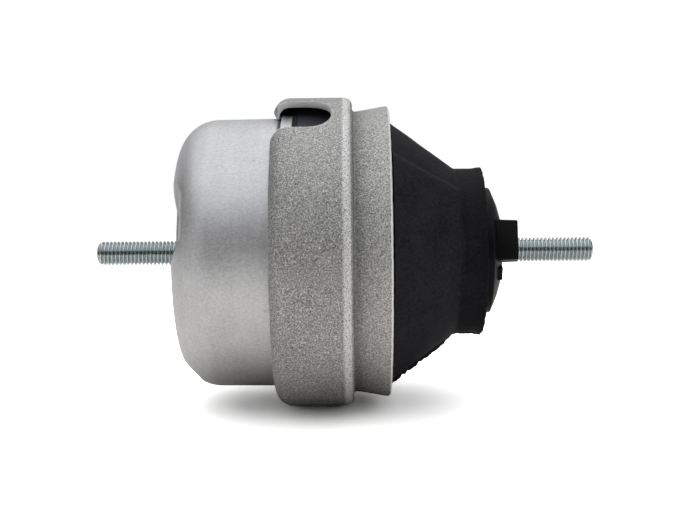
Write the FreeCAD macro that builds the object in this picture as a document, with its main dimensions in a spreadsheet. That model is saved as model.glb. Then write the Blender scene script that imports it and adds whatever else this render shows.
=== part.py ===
import FreeCAD
import Part
import Sketcher
import math
import os
import re

# Hydraulic engine mount, lying on its ring with the stud axis along X.
# The origin is the centre of the cup's seat, where the lower stud comes out.
# +X runs along the axis towards the engine's stud and +Z is up. Clock angles
# turn about X, from +Z towards -Y. All sizes are in millimetres and degrees.

SIZES = {
    # Studs, M8
    "stud_radius": 4.0,
    "stud_chamfer": 1.0,
    "lower_stud_reach": 27.0,
    "lower_head_radius": 10.0,
    "lower_head_height": 3.5,
    "upper_stud_reach": 30.4,
    "knurl_radius": 5.0,
    "knurl_length": 18.0,
    # Base cup, deep drawn
    "cup_wall": 3.4,
    "cup_draft": 0.2,
    "cup_depth": 33.6,
    "seat_radius": 12.0,
    "dome_radius": 150.0,
    "corner_radius": 14.0,
    "flange_bend": 0.6,
    # Pressed groove in the cup's dome
    "groove_angle": 65.0,
    "groove_depth": 2.9,
    "groove_floor": 9.0,
    "groove_slope": 21.0,
    "groove_margin": 6.0,
    "groove_inset": 5.1,
    "groove_back_inset": 11.1,
    # Small coined flat on the cup's corner
    "flat_depth": 0.38,
    "flat_tilt": 42.0,
    "flat_angle": 172.0,
    # Direction of the locating lug and the pads
    "clock_angle": 71.0,
    # Stack that the crimp clamps
    "bead_height": 2.6,
    "bead_width": 6.0,
    "cover_height": 3.3,
    "plate_height": 7.5,
    "stack_clearance": 0.4,
    # Outer ring
    "ring_radius": 50.0,
    "skirt_wall": 2.1,
    "crimp_bend": 3.4,
    "crimp_tuck": 0.5,
    "crimp_clearance": 0.7,
    "crimp_lip": 1.9,
    "shoulder_height": 6.2,
    "band_round": 2.6,
    "neck_inset": 4.5,
    "neck_width": 1.3,
    "lip_inset": 2.9,
    "lip_length": 10.4,
    "lip_round": 1.0,
    "throat_length": 6.8,
    "throat_flare": 3.0,
    "lip_face": 5.1,
    # Window in the ring's skirt
    "notch_angle": 22.0,
    "notch_width": 19.1,
    "notch_margin": 1.0,
    "notch_corner": 7.2,
    "notch_flare": 1.4,
    # Flats under the window, on the cup's flange and on the stack
    "flange_flat_inset": 5.6,
    "stack_flat_inset": 6.2,
    # Rubber spring
    "foot_height": 0.6,
    "foot_step": 0.4,
    "cone_length": 20.3,
    "collar_radius": 26.7,
    "collar_length": 9.7,
    "collar_crown": 1.4,
    "collar_flare": 0.4,
    "liner_wall": 3.5,
    "liner_length": 2.8,
    "chamber_top_radius": 14.0,
    "chamber_length": 21.0,
    "nose_skin": 1.6,
    "pad_proud": 1.4,
    "pad_angle": 63.0,
    "pad_start": 1.4,
    "pad_ramp": 1.6,
    # Core
    "nose_radius": 8.0,
    "waist_radius": 17.5,
    "waist_length": 4.2,
    "disc_radius": 20.4,
    "disc_root": 2.2,
    "disc_edge": 2.0,
    "bevel_radius": 15.4,
    "bevel_length": 1.9,
    "core_seat_radius": 10.4,
    "crown_length": 1.3,
    # Locating lug and small boss on the core's end
    "lug_width": 13.1,
    "lug_depth": 5.6,
    "lug_centre": 14.6,
    "lug_height": 4.3,
    "lug_draft": 2.0,
    "boss_half": 1.9,
    "boss_centre": 14.4,
    "boss_turn": 38.5,
    "boss_height": 0.5,
    # Channel plate, cover and decoupler
    "channel_inner": 26.5,
    "channel_width": 7.0,
    "channel_depth": 4.6,
    "channel_turn": 290.0,
    "channel_angle": 35.0,
    "port_radius": 2.6,
    "port_inset": 8.0,
    "well_radius": 22.5,
    "well_depth": 4.3,
    "grille_hole": 1.9,
    "grille_inner": 6.2,
    "grille_outer": 12.4,
    "decoupler_rim": 3.6,
    "decoupler_web": 2.4,
    # Diaphragm
    "diaphragm_wall": 1.8,
    "diaphragm_drop": 15.0,
    "diaphragm_lobe": 4.6,
    "diaphragm_rise": 9.0,
    "diaphragm_gap": 1.6,
}

# Radii and lengths that follow the sizes above, from the ring inwards
FITTED = {
    "neck_radius": "ring_radius - neck_inset",
    "lip_radius": "ring_radius - lip_inset",
    "mouth_radius": "lip_radius - lip_face",
    "throat_radius": "mouth_radius - throat_flare",
    "crimp_radius": "ring_radius - skirt_wall - crimp_bend - crimp_tuck",
    "cup_mouth_radius": "crimp_radius - crimp_clearance",
    "cup_radius": "cup_mouth_radius - cup_draft",
    "flange_flat": "ring_radius - flange_flat_inset",
    "stack_flat": "ring_radius - stack_flat_inset",
    "groove_start": "seat_radius + groove_margin",
    "groove_length": "cup_radius - groove_inset - groove_start",
    "groove_back_length": "cup_radius - groove_back_inset - groove_start",
}

# Stations along the axis, each the sum of the pieces before it
FLANGE_BACK = "cup_depth + cup_wall"
BEAD_BACK = FLANGE_BACK + " + bead_height"
PLATE_FACE = BEAD_BACK + " + cover_height"
SHOULDER = PLATE_FACE + " + plate_height"
NECK = SHOULDER + " + shoulder_height"
LIP_START = NECK + " + neck_width"
RING_END = LIP_START + " + lip_length"
CONE_START = RING_END + " + foot_height"
CONE_END = CONE_START + " + cone_length"
COLLAR_END = CONE_END + " + collar_length"
DISC_EDGE = COLLAR_END + " + disc_edge"
BEVEL_END = DISC_EDGE + " + bevel_length"
CORE_SEAT = BEVEL_END + " + crown_length"
CHAMBER_START = SHOULDER + " + liner_length"
CHAMBER_TOP = SHOULDER + " + chamber_length"
NOSE = CHAMBER_TOP + " + nose_skin"

# Radii shared by pieces that meet
SKIRT_RADIUS = "(ring_radius - skirt_wall)"
STACK_RADIUS = "(ring_radius - skirt_wall - stack_clearance)"
CHAMBER_RADIUS = "(throat_radius - liner_wall)"
CRIMP_CENTRE = "(ring_radius - skirt_wall - crimp_bend)"

doc = FreeCAD.newDocument("EngineMount")
sheet = doc.addObject("Spreadsheet::Sheet", "Sizes")
entries = {name: str(size) for name, size in SIZES.items()}
entries.update({name: "=" + formula for name, formula in FITTED.items()})
for row, (entry_name, entry) in enumerate(entries.items(), start=1):
    sheet.setAlias("B%d" % row, entry_name)
    sheet.set("A%d" % row, entry_name)
    sheet.set("B%d" % row, entry)
doc.recompute()


def on_sheet(formula):
    """Return a formula of size names as an expression that reads the sheet."""
    return re.sub(r"[a-z]+(?:_[a-z]+)+", r"Sizes.\g<0>", formula)


def value(formula):
    """Return the number that a formula of size names has now."""
    return float(sheet.evalExpression(formula))


def bind(item, path, formula):
    """Tie one property of an object to a formula of size names."""
    item.setExpression(path, on_sheet(formula))


def new_body(label):
    """Return an empty body whose label is the piece's name."""
    body = doc.addObject("PartDesign::Body", label)
    body.Label = label
    return body


def new_sketch(body, name, role, turn="0", lift="0"):
    """Return a sketch on one of the body's origin planes.

    turn is the clock angle of the sketch, always about X: that is the sketch's
    own normal on the plane square to the axis, and its first axis elsewhere.
    lift is the sketch's height above the plane, along the turned normal.
    """
    plane = next(item for item in body.Origin.OriginFeatures if item.Role == role)
    sketch = body.newObject("Sketcher::SketchObject", name)
    sketch.AttachmentSupport = [(plane, "")]
    sketch.MapMode = "FlatFace"
    square = role == "YZ_Plane"
    spin = FreeCAD.Vector(0, 0, 1) if square else FreeCAD.Vector(1, 0, 0)
    turned = FreeCAD.Rotation(spin, value(turn))
    lifted = turned.multVec(FreeCAD.Vector(0, 0, value(lift)))
    sketch.AttachmentOffset = FreeCAD.Placement(lifted, turned)
    if turn != "0":
        bind(sketch, ".AttachmentOffset.Rotation.Angle", turn)
    if lift != "0" and square:
        bind(sketch, ".AttachmentOffset.Base.z", lift)
    if lift != "0" and not square:
        bind(sketch, ".AttachmentOffset.Base.y", "-(%s) * sin((%s) * 1 deg)" % (lift, turn))
        bind(sketch, ".AttachmentOffset.Base.z", "(%s) * cos((%s) * 1 deg)" % (lift, turn))
    return sketch


def pin_point(sketch, edge, end, across, up):
    """Hold one end of an edge at a place given by two formulas."""
    for kind, formula in (("DistanceX", across), ("DistanceY", up)):
        index = sketch.addConstraint(
            Sketcher.Constraint(kind, -1, 1, edge, end, value(formula)))
        bind(sketch, "Constraints[%d]" % index, formula)


def arc_between(start, end, radius, left):
    """Return an arc of a radius between two points, and whether it runs to the left."""
    chord = end - start
    half = chord.Length / 2
    height = math.sqrt(max(radius * radius - half * half, 0.0))
    side = FreeCAD.Vector(-chord.y, chord.x, 0).normalize()
    centre = start + chord * 0.5 + side * (height if left else -height)
    first, last = (start, end) if left else (end, start)
    angles = [math.atan2(point.y - centre.y, point.x - centre.x) for point in (first, last)]
    circle = Part.Circle(centre, FreeCAD.Vector(0, 0, 1), radius)
    return Part.ArcOfCircle(circle, angles[0], angles[1])


def draw(sketch, corners):
    """Draw a closed outline through corners, each held by formulas.

    A corner is (across, up) for a straight edge that leaves it, or
    (across, up, radius, side) for an arc that leaves it and turns "left" or
    "right" about its centre.
    """
    places = [FreeCAD.Vector(value(corner[0]), value(corner[1]), 0) for corner in corners]
    ends = []
    for number, corner in enumerate(corners):
        start = places[number]
        end = places[(number + 1) % len(corners)]
        if len(corner) == 2:
            edge = sketch.addGeometry(Part.LineSegment(start, end), False)
            ends.append((edge, 1, 2))
            continue
        left = corner[3] == "left"
        edge = sketch.addGeometry(arc_between(start, end, value(corner[2]), left), False)
        ends.append((edge, 1, 2) if left else (edge, 2, 1))
    for number, (edge, first, last) in enumerate(ends):
        following = ends[(number + 1) % len(ends)]
        sketch.addConstraint(Sketcher.Constraint("Coincident", edge, last, following[0], following[1]))
        pin_point(sketch, edge, first, corners[number][0], corners[number][1])
        if len(corners[number]) > 2:
            radius = corners[number][2]
            index = sketch.addConstraint(Sketcher.Constraint("Radius", edge, value(radius)))
            bind(sketch, "Constraints[%d]" % index, radius)
    return sketch


def draw_circle(sketch, across, up, radius):
    """Draw a circle whose centre and radius are held by formulas."""
    centre = FreeCAD.Vector(value(across), value(up), 0)
    edge = sketch.addGeometry(
        Part.Circle(centre, FreeCAD.Vector(0, 0, 1), value(radius)), False)
    pin_point(sketch, edge, 3, across, up)
    index = sketch.addConstraint(Sketcher.Constraint("Radius", edge, value(radius)))
    bind(sketch, "Constraints[%d]" % index, radius)
    return sketch


def check_change(body, feature, before):
    """Stop if a feature that should add or cut left the body's volume as it was."""
    change = body.Shape.Volume - before
    cuts = feature.TypeId in ("PartDesign::Pocket", "PartDesign::Groove")
    if (change >= 0 and cuts) or (change <= 0 and not cuts):
        raise RuntimeError("%s in %s changes nothing" % (feature.Name, body.Label))


def revolve(body, name, corners):
    """Turn an outline of (along the axis, radius) corners into a solid."""
    sketch = draw(new_sketch(body, name + "Outline", "XZ_Plane"), corners)
    turned = body.newObject("PartDesign::Revolution", name)
    turned.Profile = sketch
    turned.ReferenceAxis = (sketch, ["H_Axis"])
    turned.Angle = 360
    doc.recompute()
    return turned


def sector(body, kind, name, corners, middle, angle):
    """Add or cut a sector of a turned outline, centred on a clock angle."""
    sketch = draw(new_sketch(body, name + "Outline", "XZ_Plane", turn=middle), corners)
    before = body.Shape.Volume
    turned = body.newObject(kind, name)
    turned.Profile = sketch
    turned.ReferenceAxis = (sketch, ["H_Axis"])
    turned.Midplane = True
    bind(turned, "Angle", angle)
    doc.recompute()
    check_change(body, turned, before)
    return turned


def extrude(body, kind, name, sketch, length="", taper="0", both_ways=False, reverse=False):
    """Pad or pocket a sketch: through everything where no length is given."""
    before = body.Shape.Volume
    feature = body.newObject(kind, name)
    feature.Profile = sketch
    feature.Midplane = both_ways
    feature.Reversed = reverse
    if length:
        feature.Type = "Length"
        bind(feature, "Length", length)
        bind(feature, "TaperAngle", taper)
    else:
        feature.Type = "ThroughAll"
    doc.recompute()
    check_change(body, feature, before)
    return feature


def repeat(body, name, feature, count):
    """Repeat a feature in equal steps about the stud axis."""
    axis = next(item for item in body.Origin.OriginFeatures if item.Role == "X_Axis")
    pattern = body.newObject("PartDesign::PolarPattern", name)
    pattern.Originals = [feature]
    pattern.Axis = (axis, [""])
    pattern.Angle = 360
    pattern.Occurrences = count
    body.Tip = pattern
    doc.recompute()
    return pattern


def window_flat(body, distance):
    """Cut the flat that faces the window, at a distance from the stud axis."""
    sketch = new_sketch(body, "FlatFace", "XY_Plane", turn="notch_angle", lift=distance)
    draw(sketch, [
        ("cup_depth - skirt_wall", "-ring_radius"),
        (SHOULDER + " + skirt_wall", "-ring_radius"),
        (SHOULDER + " + skirt_wall", "ring_radius"),
        ("cup_depth - skirt_wall", "ring_radius"),
    ])
    return extrude(body, "PartDesign::Pocket", "WindowFlat", sketch, reverse=True)


def build_base_cup():
    """Domed cup with a flat seat, a pressed groove and a flange at its mouth."""
    body = new_body("base_cup")
    span = "(cup_radius - corner_radius - seat_radius)"
    reach = "(dome_radius - corner_radius)"
    centre = "(dome_radius - sqrt(%s^2 - %s^2))" % (reach, span)

    def dome_end(offset):
        """Corner where the dome meets the corner's round, on a skin set in by offset."""
        share = "(dome_radius - %s) / %s" % (offset, reach)
        along = "dome_radius - sqrt(%s^2 - %s^2) * %s" % (reach, span, share)
        return (along, "seat_radius + %s * %s" % (span, share))

    inner_bend = "(flange_bend + cup_wall)"
    inner_mouth = "(cup_mouth_radius - cup_wall)"
    edge_rise = "sqrt(crimp_bend^2 - (crimp_bend - cup_wall)^2)"
    revolve(body, "Shell", [
        ("0", "knurl_radius"),
        ("0", "seat_radius", "dome_radius", "right"),
        dome_end("0") + ("corner_radius", "right"),
        (centre, "cup_radius"),
        ("cup_depth - flange_bend", "cup_mouth_radius", "flange_bend", "left"),
        ("cup_depth", "cup_mouth_radius + flange_bend"),
        ("cup_depth", CRIMP_CENTRE, "crimp_bend", "right"),
        (FLANGE_BACK, CRIMP_CENTRE + " + " + edge_rise),
        (FLANGE_BACK, inner_mouth + " + " + inner_bend, inner_bend, "right"),
        (FLANGE_BACK + " - " + inner_bend, inner_mouth),
        (centre, "cup_radius - cup_wall", "corner_radius - cup_wall", "left"),
        dome_end("cup_wall") + ("dome_radius - cup_wall", "left"),
        ("cup_wall", "seat_radius"),
        ("cup_wall", "knurl_radius"),
    ])

    def trough(floor, top):
        """Corners of the groove's section between a floor and a top station."""
        half = "(groove_floor / 2)"
        spread = "(%s + (%s - (%s)) / tan(groove_slope * 1 deg))" % (half, floor, top)
        return [(top, "-" + spread), (floor, "-" + half), (floor, half), (top, spread)]

    inside = new_sketch(body, "GrooveBackOutline", "XY_Plane", turn="groove_angle", lift="groove_start")
    draw(inside, trough("(groove_depth + cup_wall)", "cup_wall - groove_depth / 3"))
    extrude(body, "PartDesign::Pad", "GrooveBack", inside, "groove_back_length")
    outside = new_sketch(body, "GrooveOutline", "XY_Plane", turn="groove_angle", lift="groove_start")
    draw(outside, trough("groove_depth", "-groove_depth"))
    extrude(body, "PartDesign::Pocket", "Groove", outside, "groove_length", reverse=True)

    start_of_round = "(%s)" % centre
    round_radius = "(cup_radius - corner_radius)"

    def chord_corner(outward, along):
        """Corner of the flat's cutter, out from the round's centre and along its chord."""
        across = "%s - (%s) * cos(flat_tilt * 1 deg) + (%s) * sin(flat_tilt * 1 deg)"
        up = "%s + (%s) * sin(flat_tilt * 1 deg) + (%s) * cos(flat_tilt * 1 deg)"
        return (across % (start_of_round, outward, along), up % (round_radius, outward, along))

    floor = "corner_radius - flat_depth"
    outside_round = "corner_radius + flat_depth"
    cutter = new_sketch(body, "FlatOutline", "XZ_Plane", turn="flat_angle")
    draw(cutter, [
        chord_corner(floor, "-corner_radius / 2"),
        chord_corner(floor, "corner_radius / 2"),
        chord_corner(outside_round, "corner_radius / 2"),
        chord_corner(outside_round, "-corner_radius / 2"),
    ])
    extrude(body, "PartDesign::Pocket", "CornerFlat", cutter, both_ways=True)
    window_flat(body, "flange_flat")
    return body


def build_lower_stud():
    """Threaded stud, pressed through the cup by its knurl with its head inside."""
    body = new_body("lower_stud")
    tip = "-lower_stud_reach"
    head = "cup_wall + lower_head_height"
    revolve(body, "Stud", [
        (tip, "0"),
        (tip, "stud_radius - stud_chamfer"),
        (tip + " + stud_chamfer", "stud_radius"),
        ("0", "stud_radius"),
        ("0", "knurl_radius"),
        ("cup_wall", "knurl_radius"),
        ("cup_wall", "lower_head_radius"),
        (head + " - stud_chamfer", "lower_head_radius"),
        (head, "lower_head_radius - stud_chamfer"),
        (head, "0"),
    ])
    return body


def build_outer_ring():
    """Cast ring: crimped skirt with a window, shoulder, neck and flared lip."""
    body = new_body("outer_ring")
    outer_bend = "(crimp_bend + skirt_wall)"
    bend_start = "cup_depth + crimp_bend"
    lip_rise = "sqrt(%s^2 - (crimp_radius + crimp_lip - %s)^2)" % (outer_bend, CRIMP_CENTRE)
    revolve(body, "Ring", [
        ("cup_depth", "crimp_radius"),
        ("cup_depth", CRIMP_CENTRE, "crimp_bend", "right"),
        (bend_start, SKIRT_RADIUS),
        (SHOULDER, SKIRT_RADIUS),
        (SHOULDER, "throat_radius"),
        (SHOULDER + " + throat_length", "throat_radius"),
        (RING_END, "mouth_radius"),
        (RING_END, "lip_radius - lip_round", "lip_round", "left"),
        (RING_END + " - lip_round", "lip_radius"),
        (LIP_START, "neck_radius"),
        (NECK, "neck_radius"),
        (NECK, "ring_radius - band_round", "band_round", "left"),
        (NECK + " - band_round", "ring_radius"),
        (bend_start, "ring_radius", outer_bend, "left"),
        (bend_start + " - " + lip_rise, "crimp_radius + crimp_lip"),
        ("cup_depth - skirt_wall / 2", "crimp_radius"),
    ])
    window = new_sketch(body, "WindowOutline", "XY_Plane", turn="notch_angle")
    rim = "cup_depth - 2 * skirt_wall"
    end = SHOULDER + " - notch_margin"
    half = "(notch_width / 2)"
    flared = "(notch_width / 2 + 2 * notch_flare)"
    draw(window, [
        (rim, "-" + flared),
        ("cup_depth", "-" + half),
        (end + " - notch_corner", "-" + half, "notch_corner", "left"),
        (end, "notch_corner - " + half),
        (end, half + " - notch_corner", "notch_corner", "left"),
        (end + " - notch_corner", half),
        ("cup_depth", half),
        (rim, flared),
    ])
    extrude(body, "PartDesign::Pocket", "Window", window, reverse=True)
    return body


def build_main_spring():
    """Rubber cone bonded between the ring and the core, with a fluid chamber inside."""
    body = new_body("main_spring")
    revolve(body, "Cone", [
        (SHOULDER, CHAMBER_RADIUS),
        (SHOULDER, "throat_radius"),
        (SHOULDER + " + throat_length", "throat_radius"),
        (RING_END, "mouth_radius"),
        (CONE_START, "mouth_radius - foot_step"),
        (CONE_END, "collar_radius"),
        (COLLAR_END + " - collar_crown", "collar_radius + collar_flare"),
        (COLLAR_END, "disc_radius"),
        (COLLAR_END + " - disc_root", "disc_radius"),
        (COLLAR_END + " - disc_root - waist_length", "waist_radius"),
        (NOSE, "nose_radius"),
        (NOSE, "0"),
        (CHAMBER_TOP, "0"),
        (CHAMBER_TOP, "chamber_top_radius"),
        (CHAMBER_START, CHAMBER_RADIUS),
    ])
    slope = "((mouth_radius - foot_step - collar_radius) / cone_length)"
    foot = CONE_START + " + pad_start"
    ramp = foot + " + pad_ramp"
    root = "mouth_radius - foot_step - %s * (%s) - pad_proud"
    face = "mouth_radius - foot_step - %s * (%s) + pad_proud"
    pad_end = CONE_END + " + pad_proud / " + slope
    sector(body, "PartDesign::Revolution", "Pad", [
        (foot, root % (slope, "pad_start")),
        (foot, "mouth_radius - foot_step - %s * pad_start" % slope),
        (ramp, face % (slope, "pad_start + pad_ramp")),
        (pad_end, "collar_radius"),
        (pad_end, "collar_radius - pad_proud"),
    ], "clock_angle", "pad_angle")
    repeat(body, "PadPair", body.Tip, 2)
    return body


def build_inner_core():
    """Cast core: cone in the rubber, dished end disc, locating lug and a small boss."""
    body = new_body("inner_core")
    bore_end = CORE_SEAT + " - knurl_length"
    revolve(body, "Core", [
        (NOSE, "0"),
        (NOSE, "nose_radius"),
        (COLLAR_END + " - disc_root - waist_length", "waist_radius"),
        (COLLAR_END + " - disc_root", "disc_radius"),
        (DISC_EDGE, "disc_radius"),
        (BEVEL_END, "bevel_radius"),
        (CORE_SEAT, "core_seat_radius"),
        (CORE_SEAT, "knurl_radius"),
        (bore_end, "knurl_radius"),
        (bore_end, "0"),
    ])
    lug = new_sketch(body, "LugOutline", "YZ_Plane", turn="clock_angle", lift=DISC_EDGE)
    draw(lug, [
        ("-lug_width / 2", "lug_centre - lug_depth / 2"),
        ("lug_width / 2", "lug_centre - lug_depth / 2"),
        ("lug_width / 2", "lug_centre + lug_depth / 2"),
        ("-lug_width / 2", "lug_centre + lug_depth / 2"),
    ])
    extrude(body, "PartDesign::Pad", "Lug", lug, "bevel_length + crown_length + lug_height",
            taper="-lug_draft")
    boss = new_sketch(body, "BossOutline", "YZ_Plane", turn="clock_angle + boss_turn",
                      lift=DISC_EDGE)
    draw(boss, [
        ("-boss_half", "boss_centre - boss_half"),
        ("boss_half", "boss_centre - boss_half"),
        ("boss_half", "boss_centre + boss_half"),
        ("-boss_half", "boss_centre + boss_half"),
    ])
    extrude(body, "PartDesign::Pad", "Boss", boss, "bevel_length + boss_height")
    return body


def build_upper_stud():
    """Threaded stud pressed into the core by its knurled end."""
    body = new_body("upper_stud")
    root = CORE_SEAT + " - knurl_length"
    tip = CORE_SEAT + " + upper_stud_reach"
    revolve(body, "Stud", [
        (root, "0"),
        (root, "knurl_radius"),
        (CORE_SEAT, "knurl_radius"),
        (CORE_SEAT, "stud_radius"),
        (tip + " - stud_chamfer", "stud_radius"),
        (tip, "stud_radius - stud_chamfer"),
        (tip, "0"),
    ])
    return body


def drill(body, name, across, up, radius, turn="clock_angle"):
    """Cut one round hole right through a disc, parallel to the stud axis."""
    sketch = draw_circle(new_sketch(body, name + "Circle", "YZ_Plane", turn=turn), across, up, radius)
    return extrude(body, "PartDesign::Pocket", name, sketch, both_ways=True)


def drill_grille(body):
    """Cut the grille over the decoupler: a centre hole and two rings of holes."""
    drill(body, "GrilleCentre", "0", "0", "grille_hole")
    drill(body, "GrilleInner", "0", "grille_inner", "grille_hole")
    repeat(body, "GrilleInnerRing", body.Tip, 6)
    drill(body, "GrilleOuter", "0", "grille_outer", "grille_hole")
    repeat(body, "GrilleOuterRing", body.Tip, 12)


def build_channel_plate():
    """Disc with the long fluid channel, the decoupler's well and a grille."""
    body = new_body("channel_plate")
    revolve(body, "Disc", [
        (PLATE_FACE, "well_radius"),
        (PLATE_FACE, STACK_RADIUS),
        (SHOULDER, STACK_RADIUS),
        (SHOULDER, "0"),
        (PLATE_FACE + " + well_depth", "0"),
        (PLATE_FACE + " + well_depth", "well_radius"),
    ])
    outer = "channel_inner + channel_width"
    above = PLATE_FACE + " - channel_depth"
    floor = PLATE_FACE + " + channel_depth"
    sector(body, "PartDesign::Groove", "Channel", [
        (above, "channel_inner"),
        (above, outer),
        (floor, outer),
        (floor, "channel_inner"),
    ], "channel_angle", "channel_turn")
    drill(body, "Inlet", "0", "channel_inner + channel_width / 2", "port_radius",
          "channel_angle + channel_turn / 2 - port_inset")
    drill_grille(body)
    window_flat(body, "stack_flat")
    return body


def build_channel_cover():
    """Flat disc that closes the channel and cages the decoupler."""
    body = new_body("channel_cover")
    revolve(body, "Disc", [
        (BEAD_BACK, "0"),
        (BEAD_BACK, STACK_RADIUS),
        (PLATE_FACE, STACK_RADIUS),
        (PLATE_FACE, "0"),
    ])
    drill(body, "Outlet", "0", "channel_inner + channel_width / 2", "port_radius",
          "channel_angle - channel_turn / 2 + port_inset")
    drill_grille(body)
    window_flat(body, "stack_flat")
    return body


def build_decoupler():
    """Rubber disc, thick at its clamped rim and thin where the fluid works it."""
    body = new_body("decoupler_membrane")
    rim = "(well_radius - decoupler_rim)"
    near = PLATE_FACE + " + (well_depth - decoupler_web) / 2"
    far = PLATE_FACE + " + (well_depth + decoupler_web) / 2"
    revolve(body, "Disc", [
        (near, "0"),
        (near, rim),
        (PLATE_FACE, rim),
        (PLATE_FACE, "well_radius"),
        (PLATE_FACE + " + well_depth", "well_radius"),
        (PLATE_FACE + " + well_depth", rim),
        (far, rim),
        (far, "0"),
    ])
    return body


def build_diaphragm():
    """Thin rubber bellows under the cover, its bead clamped on the cup's flange."""
    body = new_body("diaphragm")
    inner = "(cup_mouth_radius - cup_wall - diaphragm_gap)"
    thin = "(%s - diaphragm_wall)" % inner
    bead_inner = STACK_RADIUS + " - bead_width"
    bottom = FLANGE_BACK + " - diaphragm_drop"
    lobe = "diaphragm_lobe"
    lobe_out = "(diaphragm_lobe + diaphragm_wall)"
    middle = "(%s - %s)" % (thin, lobe)
    rise = bottom + " + diaphragm_rise"
    revolve(body, "Bellows", [
        (FLANGE_BACK, inner),
        (FLANGE_BACK, STACK_RADIUS),
        (BEAD_BACK, STACK_RADIUS),
        (BEAD_BACK, thin),
        (bottom, thin, lobe, "right"),
        (bottom + " - " + lobe, middle, lobe, "right"),
        (bottom, "%s - %s" % (middle, lobe)),
        (rise + " - diaphragm_wall", "%s - %s" % (middle, lobe)),
        (rise, "%s - %s - diaphragm_wall" % (middle, lobe)),
        (rise, "0"),
        (rise + " - diaphragm_wall", "0"),
        (rise + " - diaphragm_wall", "%s - %s" % (middle, lobe_out)),
        (bottom, "%s - %s" % (middle, lobe_out), lobe_out, "left"),
        (bottom + " - " + lobe_out, middle, lobe_out, "left"),
        (bottom, inner),
    ])
    window_flat(body, "stack_flat")
    return body


def check_objects():
    """Stop if any object failed, or if a piece is empty or not valid."""
    for item in doc.Objects:
        if "Invalid" in item.State or "Error" in item.State:
            raise RuntimeError("%s failed: %s" % (item.Name, item.State))
    for body in pieces:
        if body.Shape.isNull() or not body.Shape.isValid() or len(body.Shape.Solids) != 1:
            raise RuntimeError("%s isn't one valid solid" % body.Label)


pieces = [
    build_base_cup(),
    build_lower_stud(),
    build_outer_ring(),
    build_main_spring(),
    build_inner_core(),
    build_upper_stud(),
    build_channel_plate(),
    build_channel_cover(),
    build_decoupler(),
    build_diaphragm(),
]
doc.recompute()
check_objects()
os.makedirs("parts", exist_ok=True)
for piece in pieces:
    piece.Shape.exportStep("parts/%s.step" % piece.Label)
    print("%-20s %9.1f mm3" % (piece.Label, piece.Shape.Volume))
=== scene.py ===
"""Looks of a hydraulic engine mount lying on its cast ring.

Lengths are written in millimetres and turned to metres where a mesh is made.
Angles are in degrees. X runs along the studs from the cup's seat, and Z is up.
A clock angle turns about X from +Z towards -Y, which is the side that the
camera stands on.
"""

import logging
import math
from collections.abc import Callable, Sequence
from dataclasses import dataclass
from enum import Enum

import bmesh
import bpy
from mathutils import Euler, Matrix, Quaternion, Vector, noise


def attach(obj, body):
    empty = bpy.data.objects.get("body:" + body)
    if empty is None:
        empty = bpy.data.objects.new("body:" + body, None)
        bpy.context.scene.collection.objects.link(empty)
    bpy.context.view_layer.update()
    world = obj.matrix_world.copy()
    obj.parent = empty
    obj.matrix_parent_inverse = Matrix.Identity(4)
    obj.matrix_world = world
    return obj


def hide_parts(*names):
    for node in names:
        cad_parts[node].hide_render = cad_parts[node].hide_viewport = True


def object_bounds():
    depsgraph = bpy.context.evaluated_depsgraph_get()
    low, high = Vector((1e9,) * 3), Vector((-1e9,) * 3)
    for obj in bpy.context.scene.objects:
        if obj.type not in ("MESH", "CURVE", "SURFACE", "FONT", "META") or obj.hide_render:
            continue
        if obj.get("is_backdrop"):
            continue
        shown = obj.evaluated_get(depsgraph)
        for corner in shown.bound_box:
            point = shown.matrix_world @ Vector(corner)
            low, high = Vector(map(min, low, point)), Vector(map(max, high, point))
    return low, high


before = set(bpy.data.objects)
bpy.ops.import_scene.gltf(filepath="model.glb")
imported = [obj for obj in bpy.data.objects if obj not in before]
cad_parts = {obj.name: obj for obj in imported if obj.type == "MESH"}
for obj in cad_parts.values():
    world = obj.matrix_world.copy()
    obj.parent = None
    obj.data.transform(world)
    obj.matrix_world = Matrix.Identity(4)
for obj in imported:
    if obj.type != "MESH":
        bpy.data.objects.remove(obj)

log = logging.getLogger("engine_mount")

MM = 0.001
BODY = "root"
WHITE = (1.0, 1.0, 1.0, 1.0)
WELD = 2e-6

COLOURS = {"data_type": "RGBA"}
WEAR_AND_PAINTED_LIGHT = {"attribute_name": "wear_and_painted_light"}
SMOOTH = {"interpolation_type": "SMOOTHSTEP"}
ADD = {"operation": "ADD"}
LESS = {"operation": "SUBTRACT"}
TIMES = {"operation": "MULTIPLY"}
TIMES_ADD = {"operation": "MULTIPLY_ADD"}
LARGER = {"operation": "MAXIMUM"}
LENGTH = {"operation": "LENGTH"}


class Zone(Enum):
    """Part of a turned outline, so that a shape rule knows what it bends.

    FACE is a dome or a cone and WALL stands round it. INSIDE is hidden, and
    stays coarse. Everything else is PLAIN.
    """

    PLAIN = "plain"
    FACE = "face"
    WALL = "wall"
    INSIDE = "inside"


@dataclass(frozen=True)
class Spot:
    """One point of a turned outline: place along the axis, radius, zone and a mask.

    The mask, wear_and_painted_light, means what the finish makes of it: on the ring, rubbing
    that is partly a painted highlight, and painted shade in its neck; painted shade on the cup
    and on the rubber's collar.
    """

    along: float
    radius: float
    zone: Zone = Zone.PLAIN
    wear_and_painted_light: float = 0.0


ShapeRule = Callable[[Spot, float], tuple[float, float]]


def linear(hex_colour: str) -> tuple[float, float, float, float]:
    """Turn an sRGB hex colour into the linear colour that a shader takes.

    Args:
        hex_colour: Six hex digits after a hash sign.

    Returns:
        Red, green, blue and an alpha of one.
    """
    channels = [int(hex_colour[at:at + 2], 16) / 255 for at in (1, 3, 5)]
    red, green, blue = [
        level / 12.92 if level <= 0.04045 else ((level + 0.055) / 1.055) ** 2.4
        for level in channels
    ]
    return (red, green, blue, 1.0)


def smooth_step(low: float, high: float, at: float) -> float:
    """Return 0 below low, 1 above high and a smooth rise between."""
    share = min(max((at - low) / (high - low), 0.0), 1.0)
    return share * share * (3.0 - 2.0 * share)


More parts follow.
